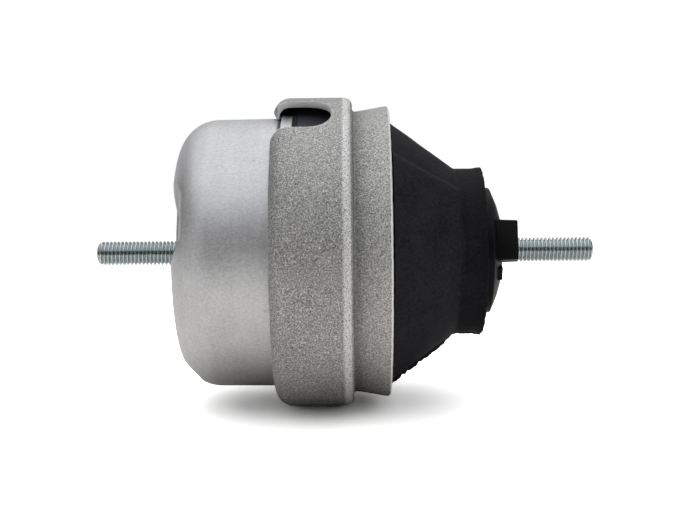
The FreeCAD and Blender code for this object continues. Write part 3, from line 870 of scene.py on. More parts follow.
@dataclass
class OuterRing:
    """Cast ring: crimped skirt with a window, band, neck and flared lip.

    The window's near corner is on the camera's side. From flare_start to the
    rim its sides flare. rubbed_and_highlight and touched_and_highlight give its
    edges rubbing and a painted highlight.
    """

    radius: float = 50.0
    wall: float = 2.1
    crimp_tip: float = 44.0
    crimp_lip: float = 1.9
    crimp_bend: float = 3.4
    cup_depth: float = 33.6
    shoulder: float = 50.4
    band_round: float = 2.6
    neck: float = 56.6
    neck_radius: float = 45.5
    neck_round: float = 0.9
    lip_start: float = 57.9
    lip_radius: float = 47.1
    lip_round: float = 1.0
    end: float = 68.3
    throat_radius: float = 39.0
    throat_end: float = 57.2
    mouth_radius: float = 42.0
    window_angle: float = 22.0
    window_width: float = 19.1
    window_end: float = 50.2
    window_low: float = 42.0
    window_high: float = 56.0
    near_corner: float = 6.9
    far_corner: float = 9.2
    flare_start: float = 33.9
    near_flare: float = 0.4
    far_flare: float = 1.0
    edge_break: float = 0.2
    crimp_waver: float = 0.12
    lip_waver: float = 0.12
    lip_chipping: float = 0.15
    rubbed_and_highlight: float = 1.35
    touched_and_highlight: float = 0.4
    steps: int = 320

    def outline(self) -> list[Spot]:
        """Return the ring's section, from the crimp's edge round the outside.

        Returns:
            The spots, as a closed outline.
        """
        bend = self.crimp_bend + self.wall
        bend_start = self.cup_depth + self.crimp_bend
        middle = self.radius - bend
        lip = math.degrees(math.asin((self.crimp_tip + self.crimp_lip - middle) / bend))
        # the crimp's edge: rubbing with a painted highlight
        spots = [Spot(self.cup_depth, self.crimp_tip),
                 Spot(self.cup_depth - self.wall / 2, self.crimp_tip, wear_and_painted_light=0.8)]
        spots += arc((bend_start, middle), bend, 180.0 - lip, 90.0, 18)
        spots += [Spot(self.neck - self.band_round - 0.8, self.radius)]
        corner = (self.neck - self.band_round, self.radius - self.band_round)
        # the band's rounded corner: rubbing with a painted highlight
        spots += arc(corner, self.band_round, 90.0, 45.0, 5, wear_and_painted_light=0.75)
        spots += arc(corner, self.band_round, 36.0, 0.0, 4, wear_and_painted_light=0.1)
        # the neck carries painted shade
        spots += arc((self.neck + self.neck_round, self.neck_radius + self.neck_round),
                     self.neck_round, 180.0, 270.0, 5, wear_and_painted_light=-1.0)
        spots += [Spot(self.lip_start, self.neck_radius + 0.05, wear_and_painted_light=-0.8),
                  Spot(self.lip_start + 3.0, self.neck_radius + 0.5, wear_and_painted_light=0.0),
                  Spot(self.end - self.lip_round - 1.2, self.lip_radius - 0.15, wear_and_painted_light=0.2)]
        edge = (self.end - self.lip_round, self.lip_radius - self.lip_round)
        spots += arc(edge, self.lip_round, 90.0, 70.0, 2, wear_and_painted_light=0.15)
        # the lip's rim and end: rubbing with a painted highlight
        spots += arc(edge, self.lip_round, 60.0, 0.0, 5, wear_and_painted_light=1.2)
        spots += [Spot(self.end, self.mouth_radius + 0.6, wear_and_painted_light=self.touched_and_highlight),
                  Spot(self.end - 0.5, self.mouth_radius, Zone.INSIDE),
                  Spot(self.throat_end, self.throat_radius, Zone.INSIDE),
                  Spot(self.shoulder, self.throat_radius, Zone.INSIDE),
                  Spot(self.shoulder, self.radius - self.wall)]
        spots += arc((bend_start, self.radius - bend), self.crimp_bend, 90.0, 180.0, 10)
        return subdivide(spots, 1.0)

    def rule(self, spot: Spot, angle: float) -> tuple[float, float]:
        """Let the crimped edge and the lip run slightly out of true, as cast ones do.

        Args:
            spot: Spot of the outline.
            angle: Clock angle in degrees.

        Returns:
            The spot's station and radius at this angle.
        """
        along, radius = spot.along, spot.radius
        at = Vector((math.cos(math.radians(angle)), math.sin(math.radians(angle)), 0.0))
        if along < self.cup_depth:
            along += self.crimp_waver * noise.noise(at * 5.0)
        if along > self.end - 1.5:
            along -= self.lip_waver * abs(noise.noise(at * 14.0))
            chip = noise.noise(at * 22.0 + Vector((0.0, 0.0, 3.0)))
            radius -= self.lip_chipping * abs(chip)
        return along, radius

    def window(self) -> bpy.types.Object:
        """Return the block that cuts the window, standing across the skirt.

        Returns:
            The cutter, which is removed after the cut.
        """
        half = self.window_width / 2
        rim = self.cup_depth - 2 * self.wall

        def flank(corner: float, flare: float) -> list[tuple[float, float]]:
            """Return one side's outline, from the rim to the round at its end.

            Args:
                corner: Radius of the round at the end.
                flare: Share of the full flare at the rim.

            Returns:
                Stations, and distances from the middle line.
            """
            turns = [math.radians(degrees) for degrees in range(90, -1, -6)]
            rounded = [(self.window_end - corner * (1 - math.cos(turn)),
                        half - corner * (1 - math.sin(turn))) for turn in turns]
            reach = (self.flare_start - rim) * flare
            return [(rim, half + reach), (self.flare_start, half)] + rounded

        upper = flank(self.far_corner, self.far_flare)
        lower = [(along, -across)
                 for along, across in reversed(flank(self.near_corner, self.near_flare))]
        work = bmesh.new()
        turn = Matrix.Rotation(math.radians(self.window_angle), 4, "X")
        rows = [[work.verts.new(turn @ (Vector((along, across, height)) * MM))
                 for along, across in upper + lower]
                for height in (self.window_low, self.window_high)]
        work.faces.new(rows[0])
        work.faces.new(rows[1])
        count = len(rows[0])
        for at in range(count):
            after = (at + 1) % count
            work.faces.new((rows[0][at], rows[0][after], rows[1][after], rows[1][at]))
        return new_object("window_cutter", to_mesh("window_cutter", work))

    def cut_window(self, piece: bpy.types.Object) -> None:
        """Cut the window through the skirt, break its edges and mark them for rubbing and a
        painted highlight.

        Args:
            piece: The turned ring.
        """
        cutter = self.window()
        cut = piece.modifiers.new("window", "BOOLEAN")
        cut.operation = "DIFFERENCE"
        cut.solver = "EXACT"
        cut.object = cutter
        dressed = piece.evaluated_get(bpy.context.evaluated_depsgraph_get())
        mesh = bpy.data.meshes.new_from_object(dressed)
        piece.modifiers.remove(cut)
        bpy.data.objects.remove(cutter)
        work = bmesh.new()
        work.from_mesh(mesh)
        bmesh.ops.remove_doubles(work, verts=work.verts, dist=WELD)
        wear_and_painted_light = work.verts.layers.float.get("wear_and_painted_light")
        skirt_end = self.shoulder * MM

        def bent(edge: bmesh.types.BMEdge, degrees: float) -> bool:
            """Return whether an edge's two faces meet at more than an angle."""
            return edge.is_manifold and edge.calc_face_angle() > math.radians(degrees)

        rims = [edge for edge in work.edges if bent(edge, 50)
                and max(vertex.co.x for vertex in edge.verts) < skirt_end - 5 * WELD]
        bmesh.ops.bevel(work, geom=rims, offset=self.edge_break * MM, segments=2,
                        profile=0.5, affect="EDGES", clamp_overlap=False)
        # the window's edges: rubbing with a painted highlight
        for vertex in work.verts:
            if vertex.co.x < skirt_end and any(bent(edge, 20) for edge in vertex.link_edges):
                radius = math.hypot(vertex.co.y, vertex.co.z)
                inner = radius < (self.radius - self.edge_break / 2) * MM
                rubbed_and_highlight = inner or vertex.co.x < self.flare_start * MM
                vertex[wear_and_painted_light] = self.rubbed_and_highlight if rubbed_and_highlight else self.touched_and_highlight
        work.to_mesh(mesh)
        work.free()
        shade(mesh, 50.0)
        piece.data = mesh

    def build(self) -> None:
        """Build and dress the ring."""
        piece = lathe("crimped_ring", self.outline(), self.steps, self.rule)
        self.cut_window(piece)
        dress(piece, BlastedCasting().material(), "outer_ring")


@dataclass
class RubberSpring:
    """Rubber cone with raised pads, a collar, and flash along its parting line.

    The two pads lie opposite each other and end in a crease at the collar,
    whose far end is slightly ragged.
    """

    shoulder: float = 50.4
    chamber_radius: float = 35.5
    throat_radius: float = 39.0
    throat_end: float = 57.2
    ring_end: float = 68.3
    mouth_radius: float = 42.0
    foot_radius: float = 41.6
    cone_start: float = 68.9
    cone_end: float = 89.2
    collar_radius: float = 26.7
    collar_flare: float = 0.4
    collar_end: float = 98.9
    collar_crown: float = 0.9
    disc_radius: float = 20.4
    disc_root: float = 2.2
    chamber_top: float = 71.4
    chamber_top_radius: float = 14.0
    pad_angle: float = 69.5
    pad_half: float = 34.8
    pad_proud: float = 1.4
    pad_fade: float = 6.0
    pad_blend: float = 0.3
    crease: float = 0.3
    crease_width: float = 0.5
    ragged: float = 0.35
    waver: float = 0.08
    roof: float = 1.6
    roof_radius: float = 8.0
    foot_depth: float = 2.8
    parting_angle: float = 172.0
    flash_half: float = 1.6
    cone_flash: float = 1.8
    collar_flash: float = 0.6
    steps: int = 360

    def outline(self) -> list[Spot]:
        """Return the cone's section, from its foot along the outside to the chamber.

        Returns:
            The spots, as a closed outline.
        """
        crown = self.collar_end - self.collar_crown
        spots = [Spot(self.shoulder, self.throat_radius, Zone.INSIDE),
                 Spot(self.throat_end, self.throat_radius, Zone.INSIDE),
                 Spot(self.ring_end, self.mouth_radius),
                 Spot(self.cone_start, self.foot_radius, Zone.FACE),
                 Spot(self.cone_end, self.collar_radius, Zone.FACE),
                 # the collar carries painted shade, darkest at its end
                 Spot(self.cone_end + 0.5, self.collar_radius, Zone.FACE, 0.3),
                 Spot(crown, self.collar_radius + self.collar_flare, Zone.WALL, 0.5),
                 Spot(crown + 0.1, self.collar_radius - 0.1, Zone.WALL, 0.6),
                 Spot(self.collar_end - 0.3, self.disc_radius + 1.2, Zone.WALL, 0.6),
                 Spot(self.collar_end - 0.6, self.disc_radius, Zone.INSIDE),
                 Spot(self.collar_end - self.disc_root, self.disc_radius - 1.0, Zone.INSIDE),
                 Spot(self.chamber_top + self.roof, self.roof_radius, Zone.INSIDE),
                 Spot(self.chamber_top + self.roof, 0.0, Zone.INSIDE),
                 Spot(self.chamber_top, 0.0, Zone.INSIDE),
                 Spot(self.chamber_top, self.chamber_top_radius, Zone.INSIDE),
                 Spot(self.shoulder + self.foot_depth, self.chamber_radius, Zone.INSIDE),
                 Spot(self.shoulder, self.chamber_radius, Zone.INSIDE)]
        return subdivide(spots, 0.5)

    def pad_height(self, angle: float) -> float:
        """Return how far the pads stand proud at a clock angle.

        Args:
            angle: Clock angle in degrees.

        Returns:
            The height in millimetres.
        """
        past = min(abs(clock_offset(angle, self.pad_angle)),
                   abs(clock_offset(angle, self.pad_angle + 180.0)))
        return self.pad_proud * (1.0 - smooth_step(
            self.pad_half - self.pad_fade, self.pad_half, past))

    def rule(self, spot: Spot, angle: float) -> tuple[float, float]:
        """Raise the pads, press a crease where they end, and add the flash.

        Args:
            spot: Spot of the outline.
            angle: Clock angle in degrees.

        Returns:
            The spot's station and radius at this angle.
        """
        along, radius = spot.along, spot.radius
        crown = self.collar_end - self.collar_crown
        if spot.zone in (Zone.FACE, Zone.WALL) and along < crown + 0.05:
            slope = (self.foot_radius - self.collar_radius) / (self.cone_end - self.cone_start)
            cone = self.foot_radius - slope * (along - self.cone_start)
            collar = self.collar_radius + self.collar_flare * smooth_step(
                crown - 3.5, crown, along)
            height = self.pad_height(angle)
            from_end = (cone + height - collar) / slope
            radius = soft_max(cone + height, collar, self.pad_blend)
            dent = math.exp(-(from_end / self.crease_width) ** 2)
            radius -= self.crease * height / self.pad_proud * dent
        around = Vector((along * 0.5, math.cos(math.radians(angle)) * 9.0,
                         math.sin(math.radians(angle)) * 9.0))
        if spot.zone is Zone.WALL and spot.along > crown - 0.1:
            along -= self.ragged * abs(noise.noise(around))
        if spot.zone in (Zone.FACE, Zone.WALL):
            radius += self.waver * noise.noise(around * 0.5)
            past = abs(clock_offset(angle, self.parting_angle))
            if past < self.flash_half:
                tear = 0.9 + 0.25 * noise.noise(Vector((along * 0.35, 7.0, 0.0)))
                tear += 0.35 * noise.noise(Vector((along * 1.1, 2.0, 5.0)))
                tall = self.cone_flash + (self.collar_flash - self.cone_flash) * smooth_step(
                    self.cone_end - 5.0, self.cone_end - 1.0, along)
                radius += tall * max(tear, 0.0) * (1.0 - past / self.flash_half)
        return along, radius

    def build(self) -> None:
        """Build and dress the cone."""
        piece = lathe("rubber_cone", self.outline(), self.steps, self.rule)
        dress(piece, MouldedRubber().material(), "main_spring")


@dataclass
class InnerCore:
    """Black core: end disc rising to a seat, with a locating lug and a small boss."""

    nose: float = 73.0
    nose_radius: float = 8.0
    waist: float = 92.5
    waist_radius: float = 17.5
    disc_start: float = 96.7
    disc_radius: float = 20.4
    disc_edge: float = 100.9
    bevel_end: float = 102.8
    bevel_radius: float = 15.4
    seat: float = 104.1
    seat_radius: float = 10.4
    bore_radius: float = 5.0
    bore_end: float = 86.1
    edge_round: float = 0.7
    clock: float = 71.0
    lug_width: float = 13.1
    lug_depth: float = 5.6
    lug_centre: float = 14.6
    lug_end: float = 108.4
    lug_draft: float = 2.0
    lug_round: float = 0.35
    boss_turn: float = 38.5
    boss_centre: float = 14.4
    boss_half: float = 1.9
    boss_end: float = 103.3
    steps: int = 192

    def outline(self) -> list[Spot]:
        """Return the core's section, from its nose along the outside to the bore.

        Returns:
            The spots, as a closed outline.
        """
        spots = [Spot(self.nose, 0.0, Zone.INSIDE),
                 Spot(self.nose, self.nose_radius, Zone.INSIDE),
                 Spot(self.waist, self.waist_radius, Zone.INSIDE)]
        spots += arc((self.disc_start + self.edge_round, self.disc_radius - self.edge_round),
                     self.edge_round, 150.0, 90.0, 3)
        spots += arc((self.disc_edge - self.edge_round, self.disc_radius - self.edge_round),
                     self.edge_round, 90.0, 30.0, 4)
        spots += [Spot(self.bevel_end, self.bevel_radius),
                  Spot(self.seat - 0.1, self.seat_radius + 1.0),
                  Spot(self.seat, self.seat_radius - 0.3),
                  Spot(self.seat, self.bore_radius),
                  Spot(self.bore_end, self.bore_radius, Zone.INSIDE),
                  Spot(self.bore_end, 0.0, Zone.INSIDE)]
        return spots

    def build(self) -> None:
        """Build and dress the core with its lug and boss."""
        piece = lathe("core_disc", self.outline(), self.steps)
        work = bmesh.new()
        work.from_mesh(piece.data)
        root = self.disc_edge - 1.0
        lug = (self.clock, self.lug_width / 2, self.lug_depth / 2, self.lug_centre,
               self.lug_end, self.lug_draft)
        boss = (self.clock + self.boss_turn, self.boss_half, self.boss_half,
                self.boss_centre, self.boss_end, 0.0)
        for clock, half, deep, centre, end, draft in (lug, boss):
            rounded_block(work, Vector((root, -half, centre - deep)),
                          Vector((end, half, centre + deep)),
                          Matrix.Rotation(math.radians(clock), 3, "X"), draft,
                          self.lug_round)
        work.to_mesh(piece.data)
        work.free()
        shade(piece.data, 35.0)
        coat = BlackCoat("bonding_coat_on_casting", "#09090b", 0.42, 0.12)
        dress(piece, coat.material(), "inner_core")


@dataclass
class StudThread:
    """Metric thread that is swept by nodes from its sizes, with both ends closed.

    Crest and root shares say how much of half a pitch is crest, and where the
    root begins. The tip is rounded by a power of its distance from the end.
    """

    major: float = 3.97
    depth: float = 0.77
    pitch: float = 1.25
    crest_share: float = 0.16
    root_share: float = 0.9
    tip_power: float = 0.75
    overrun: float = 1.02
    columns: int = 60
    rows_in_pitch: int = 14

    def tree(self) -> bpy.types.GeometryNodeTree:
        """Build the node tree that winds a grid into a threaded rod.

        The grid runs a little past both ends, and what lies past them is drawn
        in to the axis, which closes the ends.

        Returns:
            The tree, with its sizes as named inputs.
        """
        tree = bpy.data.node_groups.new("helical_thread", "GeometryNodeTree")
        sheet = NodeSheet(tree)
        for name, kind, default in (
                ("Length", "NodeSocketFloat", 0.027),
                ("Major Radius", "NodeSocketFloat", 0.004),
                ("Thread Depth", "NodeSocketFloat", 0.00077),
                ("Pitch", "NodeSocketFloat", 0.00125),
                ("Chamfer", "NodeSocketFloat", 0.0012),
                ("Tip Radius", "NodeSocketFloat", 0.0028),
                ("Rows", "NodeSocketInt", 300),
                ("Columns", "NodeSocketInt", 60),
                ("Finish", "NodeSocketMaterial", None)):
            socket = tree.interface.new_socket(name, in_out="INPUT", socket_type=kind)
            if default is not None:
                socket.default_value = default
        tree.interface.new_socket("Geometry", in_out="OUTPUT", socket_type="NodeSocketGeometry")
        given = sheet.add("NodeGroupInput").outputs

        grid = sheet.add("GeometryNodeMeshGrid", Size_X=1.0, Size_Y=1.0,
                         Vertices_X=given["Rows"], Vertices_Y=given["Columns"])
        at = sheet.add("ShaderNodeSeparateXYZ",
                       Vector=sheet.add("GeometryNodeInputPosition")).outputs
        share = sheet.add("ShaderNodeMath", TIMES_ADD, slot0=at["X"], slot1=self.overrun,
                          slot2=0.5)
        held = sheet.add("ShaderNodeClamp", Value=share, Min=0.0, Max=1.0)
        distance = sheet.add("ShaderNodeMath", TIMES, slot0=held, slot1=given["Length"])
        around = sheet.add("ShaderNodeMath", ADD, slot0=at["Y"], slot1=0.5)
        turns = sheet.add("ShaderNodeMath", {"operation": "DIVIDE"}, slot0=distance,
                          slot1=given["Pitch"])
        phase = sheet.add("ShaderNodeMath", LESS, slot0=turns, slot1=around)
        phase = sheet.add("ShaderNodeMath", {"operation": "FRACT"}, slot0=phase)
        ridge = sheet.add("ShaderNodeMath", TIMES_ADD, slot0=phase, slot1=2.0, slot2=-1.0)
        ridge = sheet.add("ShaderNodeMath", {"operation": "ABSOLUTE"}, slot0=ridge)
        flank = sheet.add("ShaderNodeMapRange", SMOOTH, Value=ridge,
                          From_Min=self.crest_share, From_Max=self.root_share,
                          To_Min=1.0, To_Max=0.0)
        root = sheet.add("ShaderNodeMath", LESS, slot0=given["Major Radius"],
                         slot1=given["Thread Depth"])
        wound = sheet.add("ShaderNodeMath", TIMES_ADD, slot0=flank,
                          slot1=given["Thread Depth"], slot2=root)
        to_tip = sheet.add("ShaderNodeMath", LESS, slot0=given["Length"], slot1=distance)
        from_full = sheet.add("ShaderNodeMapRange", Value=to_tip, From_Min=0.0,
                              From_Max=given["Chamfer"], To_Min=1.0, To_Max=0.0)
        square = sheet.add("ShaderNodeMath", TIMES, slot0=from_full, slot1=from_full)
        rounded = sheet.add("ShaderNodeMath", LESS, slot0=1.0, slot1=square)
        rounded = sheet.add("ShaderNodeMath", {"operation": "POWER"}, slot0=rounded,
                            slot1=self.tip_power)
        gain = sheet.add("ShaderNodeMath", LESS, slot0=given["Major Radius"],
                         slot1=given["Tip Radius"])
        chamfered = sheet.add("ShaderNodeMath", TIMES_ADD, slot0=rounded, slot1=gain,
                              slot2=given["Tip Radius"])
        radius = sheet.add("ShaderNodeMath", {"operation": "MINIMUM"}, slot0=wound,
                           slot1=chamfered)
        inside = sheet.add("ShaderNodeMath", LESS, slot0=share, slot1=0.5)
        inside = sheet.add("ShaderNodeMath", {"operation": "ABSOLUTE"}, slot0=inside)
        inside = sheet.add("ShaderNodeMath", {"operation": "LESS_THAN"}, slot0=inside,
                           slot1=0.5)
        radius = sheet.add("ShaderNodeMath", TIMES, slot0=radius, slot1=inside)
        angle = sheet.add("ShaderNodeMath", TIMES, slot0=around, slot1=math.tau)
        sides = []
        for operation in ("SINE", "COSINE"):
            side = sheet.add("ShaderNodeMath", {"operation": operation}, slot0=angle)
            sides.append(sheet.add("ShaderNodeMath", TIMES, slot0=radius, slot1=side))
        moved = sheet.add("ShaderNodeCombineXYZ", X=distance, Y=sides[0], Z=sides[1])
        wrapped = sheet.add("GeometryNodeSetPosition", Geometry=grid, Position=moved)
        welded = sheet.add("GeometryNodeMergeByDistance", Geometry=wrapped, Distance=WELD)
        smooth = sheet.add("GeometryNodeSetShadeSmooth", Geometry=welded)
        real = sheet.add("GeometryNodeRealizeInstances", Geometry=smooth)
        finished = sheet.add("GeometryNodeSetMaterial", Geometry=real,
                             Material=given["Finish"])
        sheet.add("NodeGroupOutput", slot0=finished)
        return tree

    def wind(self, tree: bpy.types.GeometryNodeTree, length: float, chamfer: float,
             tip: float, finish: bpy.types.Material) -> bpy.types.Mesh:
        """Return a thread that starts at the origin and runs along +X.

        Args:
            tree: The node tree from this class.
            length: Length of the thread, in millimetres.
            chamfer: Length of the tip's chamfer.
            tip: Radius at the tip.
            finish: The thread's material.

        Returns:
            The thread as a plain mesh.
        """
        holder = new_object("thread_holder", bpy.data.meshes.new("thread_holder"))
        nodes = holder.modifiers.new("thread", "NODES")
        nodes.node_group = tree
        keys = {item.name: item.identifier for item in tree.interface.items_tree
                if item.in_out == "INPUT"}
        sizes = {"Length": length * MM, "Major Radius": self.major * MM,
                 "Thread Depth": self.depth * MM, "Pitch": self.pitch * MM,
                 "Chamfer": chamfer * MM, "Tip Radius": tip * MM,
                 "Rows": int(length / self.pitch * self.rows_in_pitch),
                 "Columns": self.columns, "Finish": finish}
        for name, size in sizes.items():
            nodes[keys[name]] = size
        wound = holder.evaluated_get(bpy.context.evaluated_depsgraph_get())
        mesh = bpy.data.meshes.new_from_object(wound)
        holder.modifiers.remove(nodes)
        bpy.data.objects.remove(holder)
        return mesh


@dataclass
class Studs:
    """The two studs: a thread wound by nodes, joined to its turned, hidden end."""

    lower_reach: float = 27.0
    upper_seat: float = 104.1
    upper_reach: float = 30.4
    knurl_radius: float = 5.0
    knurl_length: float = 18.0
    cup_wall: float = 3.4
    head_radius: float = 10.0
    head_height: float = 3.5
    lower_chamfer: float = 2.0
    upper_chamfer: float = 1.6
    tip_radius: float = 2.3
    sink: float = 0.3
    inset: float = 0.05
    steps: int = 64

    def join(self, name: str, hidden: Sequence[Spot], thread: bpy.types.Mesh,
             carry: Matrix) -> bpy.types.Object:
        """Put the turned end and the thread together in one piece.

        Args:
            name: Name of the piece.
            hidden: Outline of the turned end.
            thread: The thread, from the origin along +X.
            carry: Placement of the thread on the mount.

        Returns:
            The joined piece.
        """
        piece = lathe(name, hidden, self.steps)
        work = bmesh.new()
        thread.transform(carry)
        work.from_mesh(piece.data)
        work.from_mesh(thread)
        bmesh.ops.recalc_face_normals(work, faces=work.faces)
        work.to_mesh(piece.data)
        work.free()
        bpy.data.meshes.remove(thread)
        shade(piece.data, 55.0)
        return piece

    def build(self) -> None:
        """Build and dress both studs."""
        finish = ZincPlate().material()
        thread = StudThread()
        tree = thread.tree()
        head = self.cup_wall + self.head_height
        lower_end = [Spot(self.inset, 0.0), Spot(self.inset, self.knurl_radius),
                     Spot(self.cup_wall, self.knurl_radius),
                     Spot(self.cup_wall, self.head_radius),
                     Spot(head - 1.0, self.head_radius),
                     Spot(head, self.head_radius - 1.0), Spot(head, 0.0)]
        root = self.upper_seat - self.knurl_length
        seat = self.upper_seat - self.inset
        upper_end = [Spot(root, 0.0), Spot(root, self.knurl_radius),
                     Spot(seat, self.knurl_radius), Spot(seat, 0.0)]
        turned = Matrix.Rotation(math.pi, 4, "Z")
        lower_carry = Matrix.Translation((self.sink * MM, 0, 0)) @ turned
        upper_carry = Matrix.Translation(((self.upper_seat - self.sink) * MM, 0, 0))
        for name, node, hidden, reach, chamfer, carry in (
                ("lower_thread", "lower_stud", lower_end, self.lower_reach,
                 self.lower_chamfer, lower_carry),
                ("upper_thread", "upper_stud", upper_end, self.upper_reach,
                 self.upper_chamfer, upper_carry)):
            wound = thread.wind(tree, reach + self.sink, chamfer, self.tip_radius, finish)
            dress(self.join(name, hidden, wound, carry), finish, node)
        bpy.data.node_groups.remove(tree)


@dataclass
class ClampedStack:
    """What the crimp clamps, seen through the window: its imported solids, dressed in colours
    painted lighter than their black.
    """

    # painted light: the stack's black coat and rubber are drawn as lighter bluish greys
    plate: BlackCoat = BlackCoat("conversion_coat_on_casting_painted_light", "#3a3b44", 0.5, 0.4)
    rubber: MouldedRubber = MouldedRubber("natural_rubber_inside_painted_light", "#2c2d34", "#3a3b43")

    def build(self) -> None:
        """Give each carried-over node its finish."""
        plate = self.plate.material()
        rubber = self.rubber.material()
        for node, finish in (("channel_plate", plate), ("channel_cover", plate),
                             ("decoupler_membrane", rubber), ("diaphragm", rubber)):
            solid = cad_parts[node]
            solid.data.materials.clear()
            solid.data.materials.append(finish)
            log.info("%s: %s", node, finish.name)


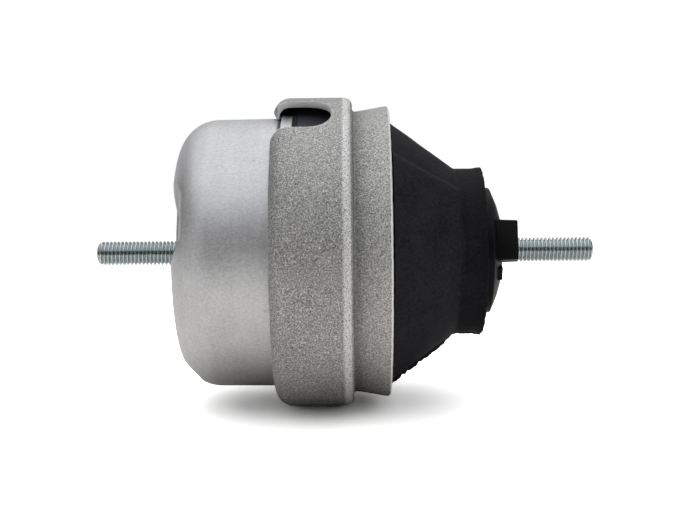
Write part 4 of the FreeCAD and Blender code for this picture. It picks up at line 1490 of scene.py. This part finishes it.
@dataclass
class Studio:
    """White floor and surround, one soft light overhead, and grey cards on four sides.

    The floor looks white, but sheds a dimmer, warmer light on the mount, and
    least where the mount stands on it: from shade_start to shade_end that light
    rises from paper_near to paper.
    """

    middle: float = 52.1
    aim_below_axis: float = 0.95
    distance: float = 409.3
    elevation: float = 8.0
    yaw: float = 0.6
    roll: float = -0.63
    lens: float = 66.27
    sensor: float = 36.0
    box_size: float = 1100.0
    box_height: float = 620.0
    box_back: float = 60.0
    box_power: float = 0.8
    card_height: float = 520.0
    card_width: float = 900.0
    floor_half: float = 6000.0
    white_start: float = 200.0
    white_full: float = 500.0
    paper: float = 1.0
    paper_near: float = 0.05
    shade_start: float = 14.0
    shade_end: float = 50.0
    shade_share: float = 0.68
    paper_seen: float = 2.2
    warmth: tuple[float, float, float] = (1.0, 0.975, 0.94)

    def camera(self) -> None:
        """Stand the camera in front and a little above, as in the photograph."""
        yaw, elevation = math.radians(self.yaw), math.radians(self.elevation)
        back = Vector((math.sin(yaw) * math.cos(elevation),
                       -math.cos(yaw) * math.cos(elevation), math.sin(elevation)))
        look = (-back).to_track_quat("-Z", "Y")
        up = look @ Vector((0.0, 1.0, 0.0))
        target = Vector((self.middle, 0.0, 0.0)) - up * self.aim_below_axis
        lens = bpy.data.cameras.new("camera")
        lens.lens = self.lens
        lens.sensor_width = self.sensor
        lens.clip_start = 0.01
        lens.clip_end = 50.0
        camera = bpy.data.objects.new("camera", lens)
        camera.rotation_mode = "QUATERNION"
        camera.location = (target + back * self.distance) * MM
        camera.rotation_quaternion = look @ Quaternion(
            (0.0, 0.0, 1.0), math.radians(self.roll))
        bpy.context.scene.collection.objects.link(camera)
        bpy.context.scene.camera = camera

    def show_white(self, sheet: NodeSheet) -> bpy.types.Node:
        """Give 1 to rays that see the floor itself, in a mirror or through glass.

        Args:
            sheet: Sheet of the floor's material.

        Returns:
            The node that gives the value.
        """
        rays = sheet.add("ShaderNodeLightPath").outputs
        seen = sheet.add("ShaderNodeMath", LARGER, slot0=rays["Is Camera Ray"],
                         slot1=rays["Is Glossy Ray"])
        return sheet.add("ShaderNodeMath", LARGER, slot0=seen,
                         slot1=rays["Is Transmission Ray"])

    def world(self) -> None:
        """Surround everything with even white."""
        world = bpy.data.worlds.new("white_surround")
        world.use_nodes = True
        sheet = NodeSheet(world.node_tree)
        light = sheet.add("ShaderNodeBackground", Color=WHITE, Strength=1.0)
        sheet.add("ShaderNodeOutputWorld", Surface=light)
        bpy.context.scene.world = world

    def paper_finish(self, level: float) -> bpy.types.Material:
        """Build the floor's paper, which ends in plain white far from the mount.

        Args:
            level: Height of the floor in metres.

        Returns:
            The material.
        """
        material, sheet = new_material("white_paper_sweep")
        place_on = sheet.add("ShaderNodeTexCoord").outputs["Object"]
        centred = sheet.add("ShaderNodeMapping", Vector=place_on,
                            Location=(-self.middle * MM, 0.0, -level))
        reach = sheet.add("ShaderNodeVectorMath", LENGTH, slot0=centred)
        far = sheet.add("ShaderNodeMapRange", SMOOTH, Value=reach,
                        From_Min=self.white_start * MM, From_Max=self.white_full * MM)
        seen = sheet.add("ShaderNodeMath", TIMES, slot0=far, slot1=self.show_white(sheet))
        camera = sheet.add("ShaderNodeLightPath").outputs["Is Camera Ray"]
        along = sheet.add("ShaderNodeVectorMath", TIMES, slot0=centred,
                          slot1=(self.shade_share, 1.0, 1.0))
        under = sheet.add("ShaderNodeVectorMath", LENGTH, slot0=along)
        bounce = sheet.add("ShaderNodeMapRange", Value=under,
                           From_Min=self.shade_start * MM, From_Max=self.shade_end * MM,
                           To_Min=self.paper_near, To_Max=self.paper)
        warmed = sheet.add("ShaderNodeVectorMath", {"operation": "SCALE"},
                           slot0=self.warmth, Scale=bounce)
        seen_white = (self.paper_seen, self.paper_seen, self.paper_seen, 1.0)
        tone = sheet.add("ShaderNodeMix", COLOURS, Factor=camera, slot6=warmed,
                         slot7=seen_white)
        paper = sheet.add("ShaderNodeBsdfDiffuse", Color=tone)
        glow = sheet.add("ShaderNodeEmission", Color=WHITE, Strength=1.0)
        mixed = sheet.add("ShaderNodeMixShader", Fac=seen, slot1=paper, slot2=glow)
        sheet.add("ShaderNodeOutputMaterial", Surface=mixed)
        return material

    def floor(self, level: float) -> None:
        """Lay the white floor that takes the shadow.

        Args:
            level: Height of the floor in metres.
        """
        work = bmesh.new()
        bmesh.ops.create_grid(work, x_segments=1, y_segments=1, size=self.floor_half * MM,
                              matrix=Matrix.Translation((self.middle * MM, 0, level)))
        floor = staged("floor", work, self.paper_finish(level))
        floor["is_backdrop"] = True

    def card(self, name: str, azimuth: float, level: float, shade_hex: str,
             distance: float = 620.0, dims: bool = True) -> None:
        """Stand a card on the floor, out of the camera's sight, for metal to mirror.

        Args:
            name: Name of the card.
            azimuth: Direction that it stands in, from -Y towards +X, in degrees.
            level: Height of the floor in metres.
            shade_hex: Colour of the card.
            distance: How far it stands from the mount, in millimetres.
            dims: Whether it also takes light from the floor.
        """
        work = bmesh.new()
        turn = math.radians(azimuth)
        base = Vector((self.middle + distance * math.sin(turn),
                       -distance * math.cos(turn), 0.0))
        side = Vector((math.cos(turn), math.sin(turn), 0.0)) * self.card_width / 2
        rise = Vector((0.0, 0.0, self.card_height))
        corners = [base - side, base + side, base + side + rise, base - side + rise]
        work.faces.new([work.verts.new(corner * MM + Vector((0.0, 0.0, level)))
                        for corner in corners])
        material, sheet = new_material(name)
        cloth = sheet.add("ShaderNodeBsdfDiffuse", Color=shade_hex)
        sheet.add("ShaderNodeOutputMaterial", Surface=cloth)
        card = staged(name, work, material)
        card.visible_camera = False
        card.visible_diffuse = dims
        card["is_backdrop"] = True

    def lamp(self) -> None:
        """Hang one broad soft light overhead."""
        light = bpy.data.lights.new("overhead", "AREA")
        light.shape = "SQUARE"
        light.size = self.box_size * MM
        light.energy = self.box_power
        lamp = bpy.data.objects.new("overhead", light)
        lamp.location = Vector((self.middle, self.box_back, self.box_height)) * MM
        lamp.rotation_euler = Euler((-math.atan2(self.box_back, self.box_height), 0, 0))
        bpy.context.scene.collection.objects.link(lamp)

    def build(self, level: float) -> None:
        """Set up camera, light and floor.

        Args:
            level: Height of the floor in metres.
        """
        bpy.context.scene.view_settings.view_transform = "Standard"
        self.camera()
        self.world()
        self.floor(level)
        self.card("grey_card_front", 0.0, level, "#4a4a4c")
        self.card("pale_card_back", 180.0, level, "#b0b0b0")
        self.card("pale_card_left", -90.0, level, "#949494", 480.0, dims=False)
        self.card("grey_card_right", 112.0, level, "#6e6e6e", dims=False)
        self.lamp()


def main() -> None:
    """Build every sub-assembly in order, then the studio round it."""
    logging.basicConfig(level=logging.INFO, format="%(name)s: %(message)s")
    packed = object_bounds()
    BaseCup().build()
    OuterRing().build()
    RubberSpring().build()
    InnerCore().build()
    Studs().build()
    ClampedStack().build()
    Studio().build(packed[0].z)


if __name__ == "__main__":
    main()
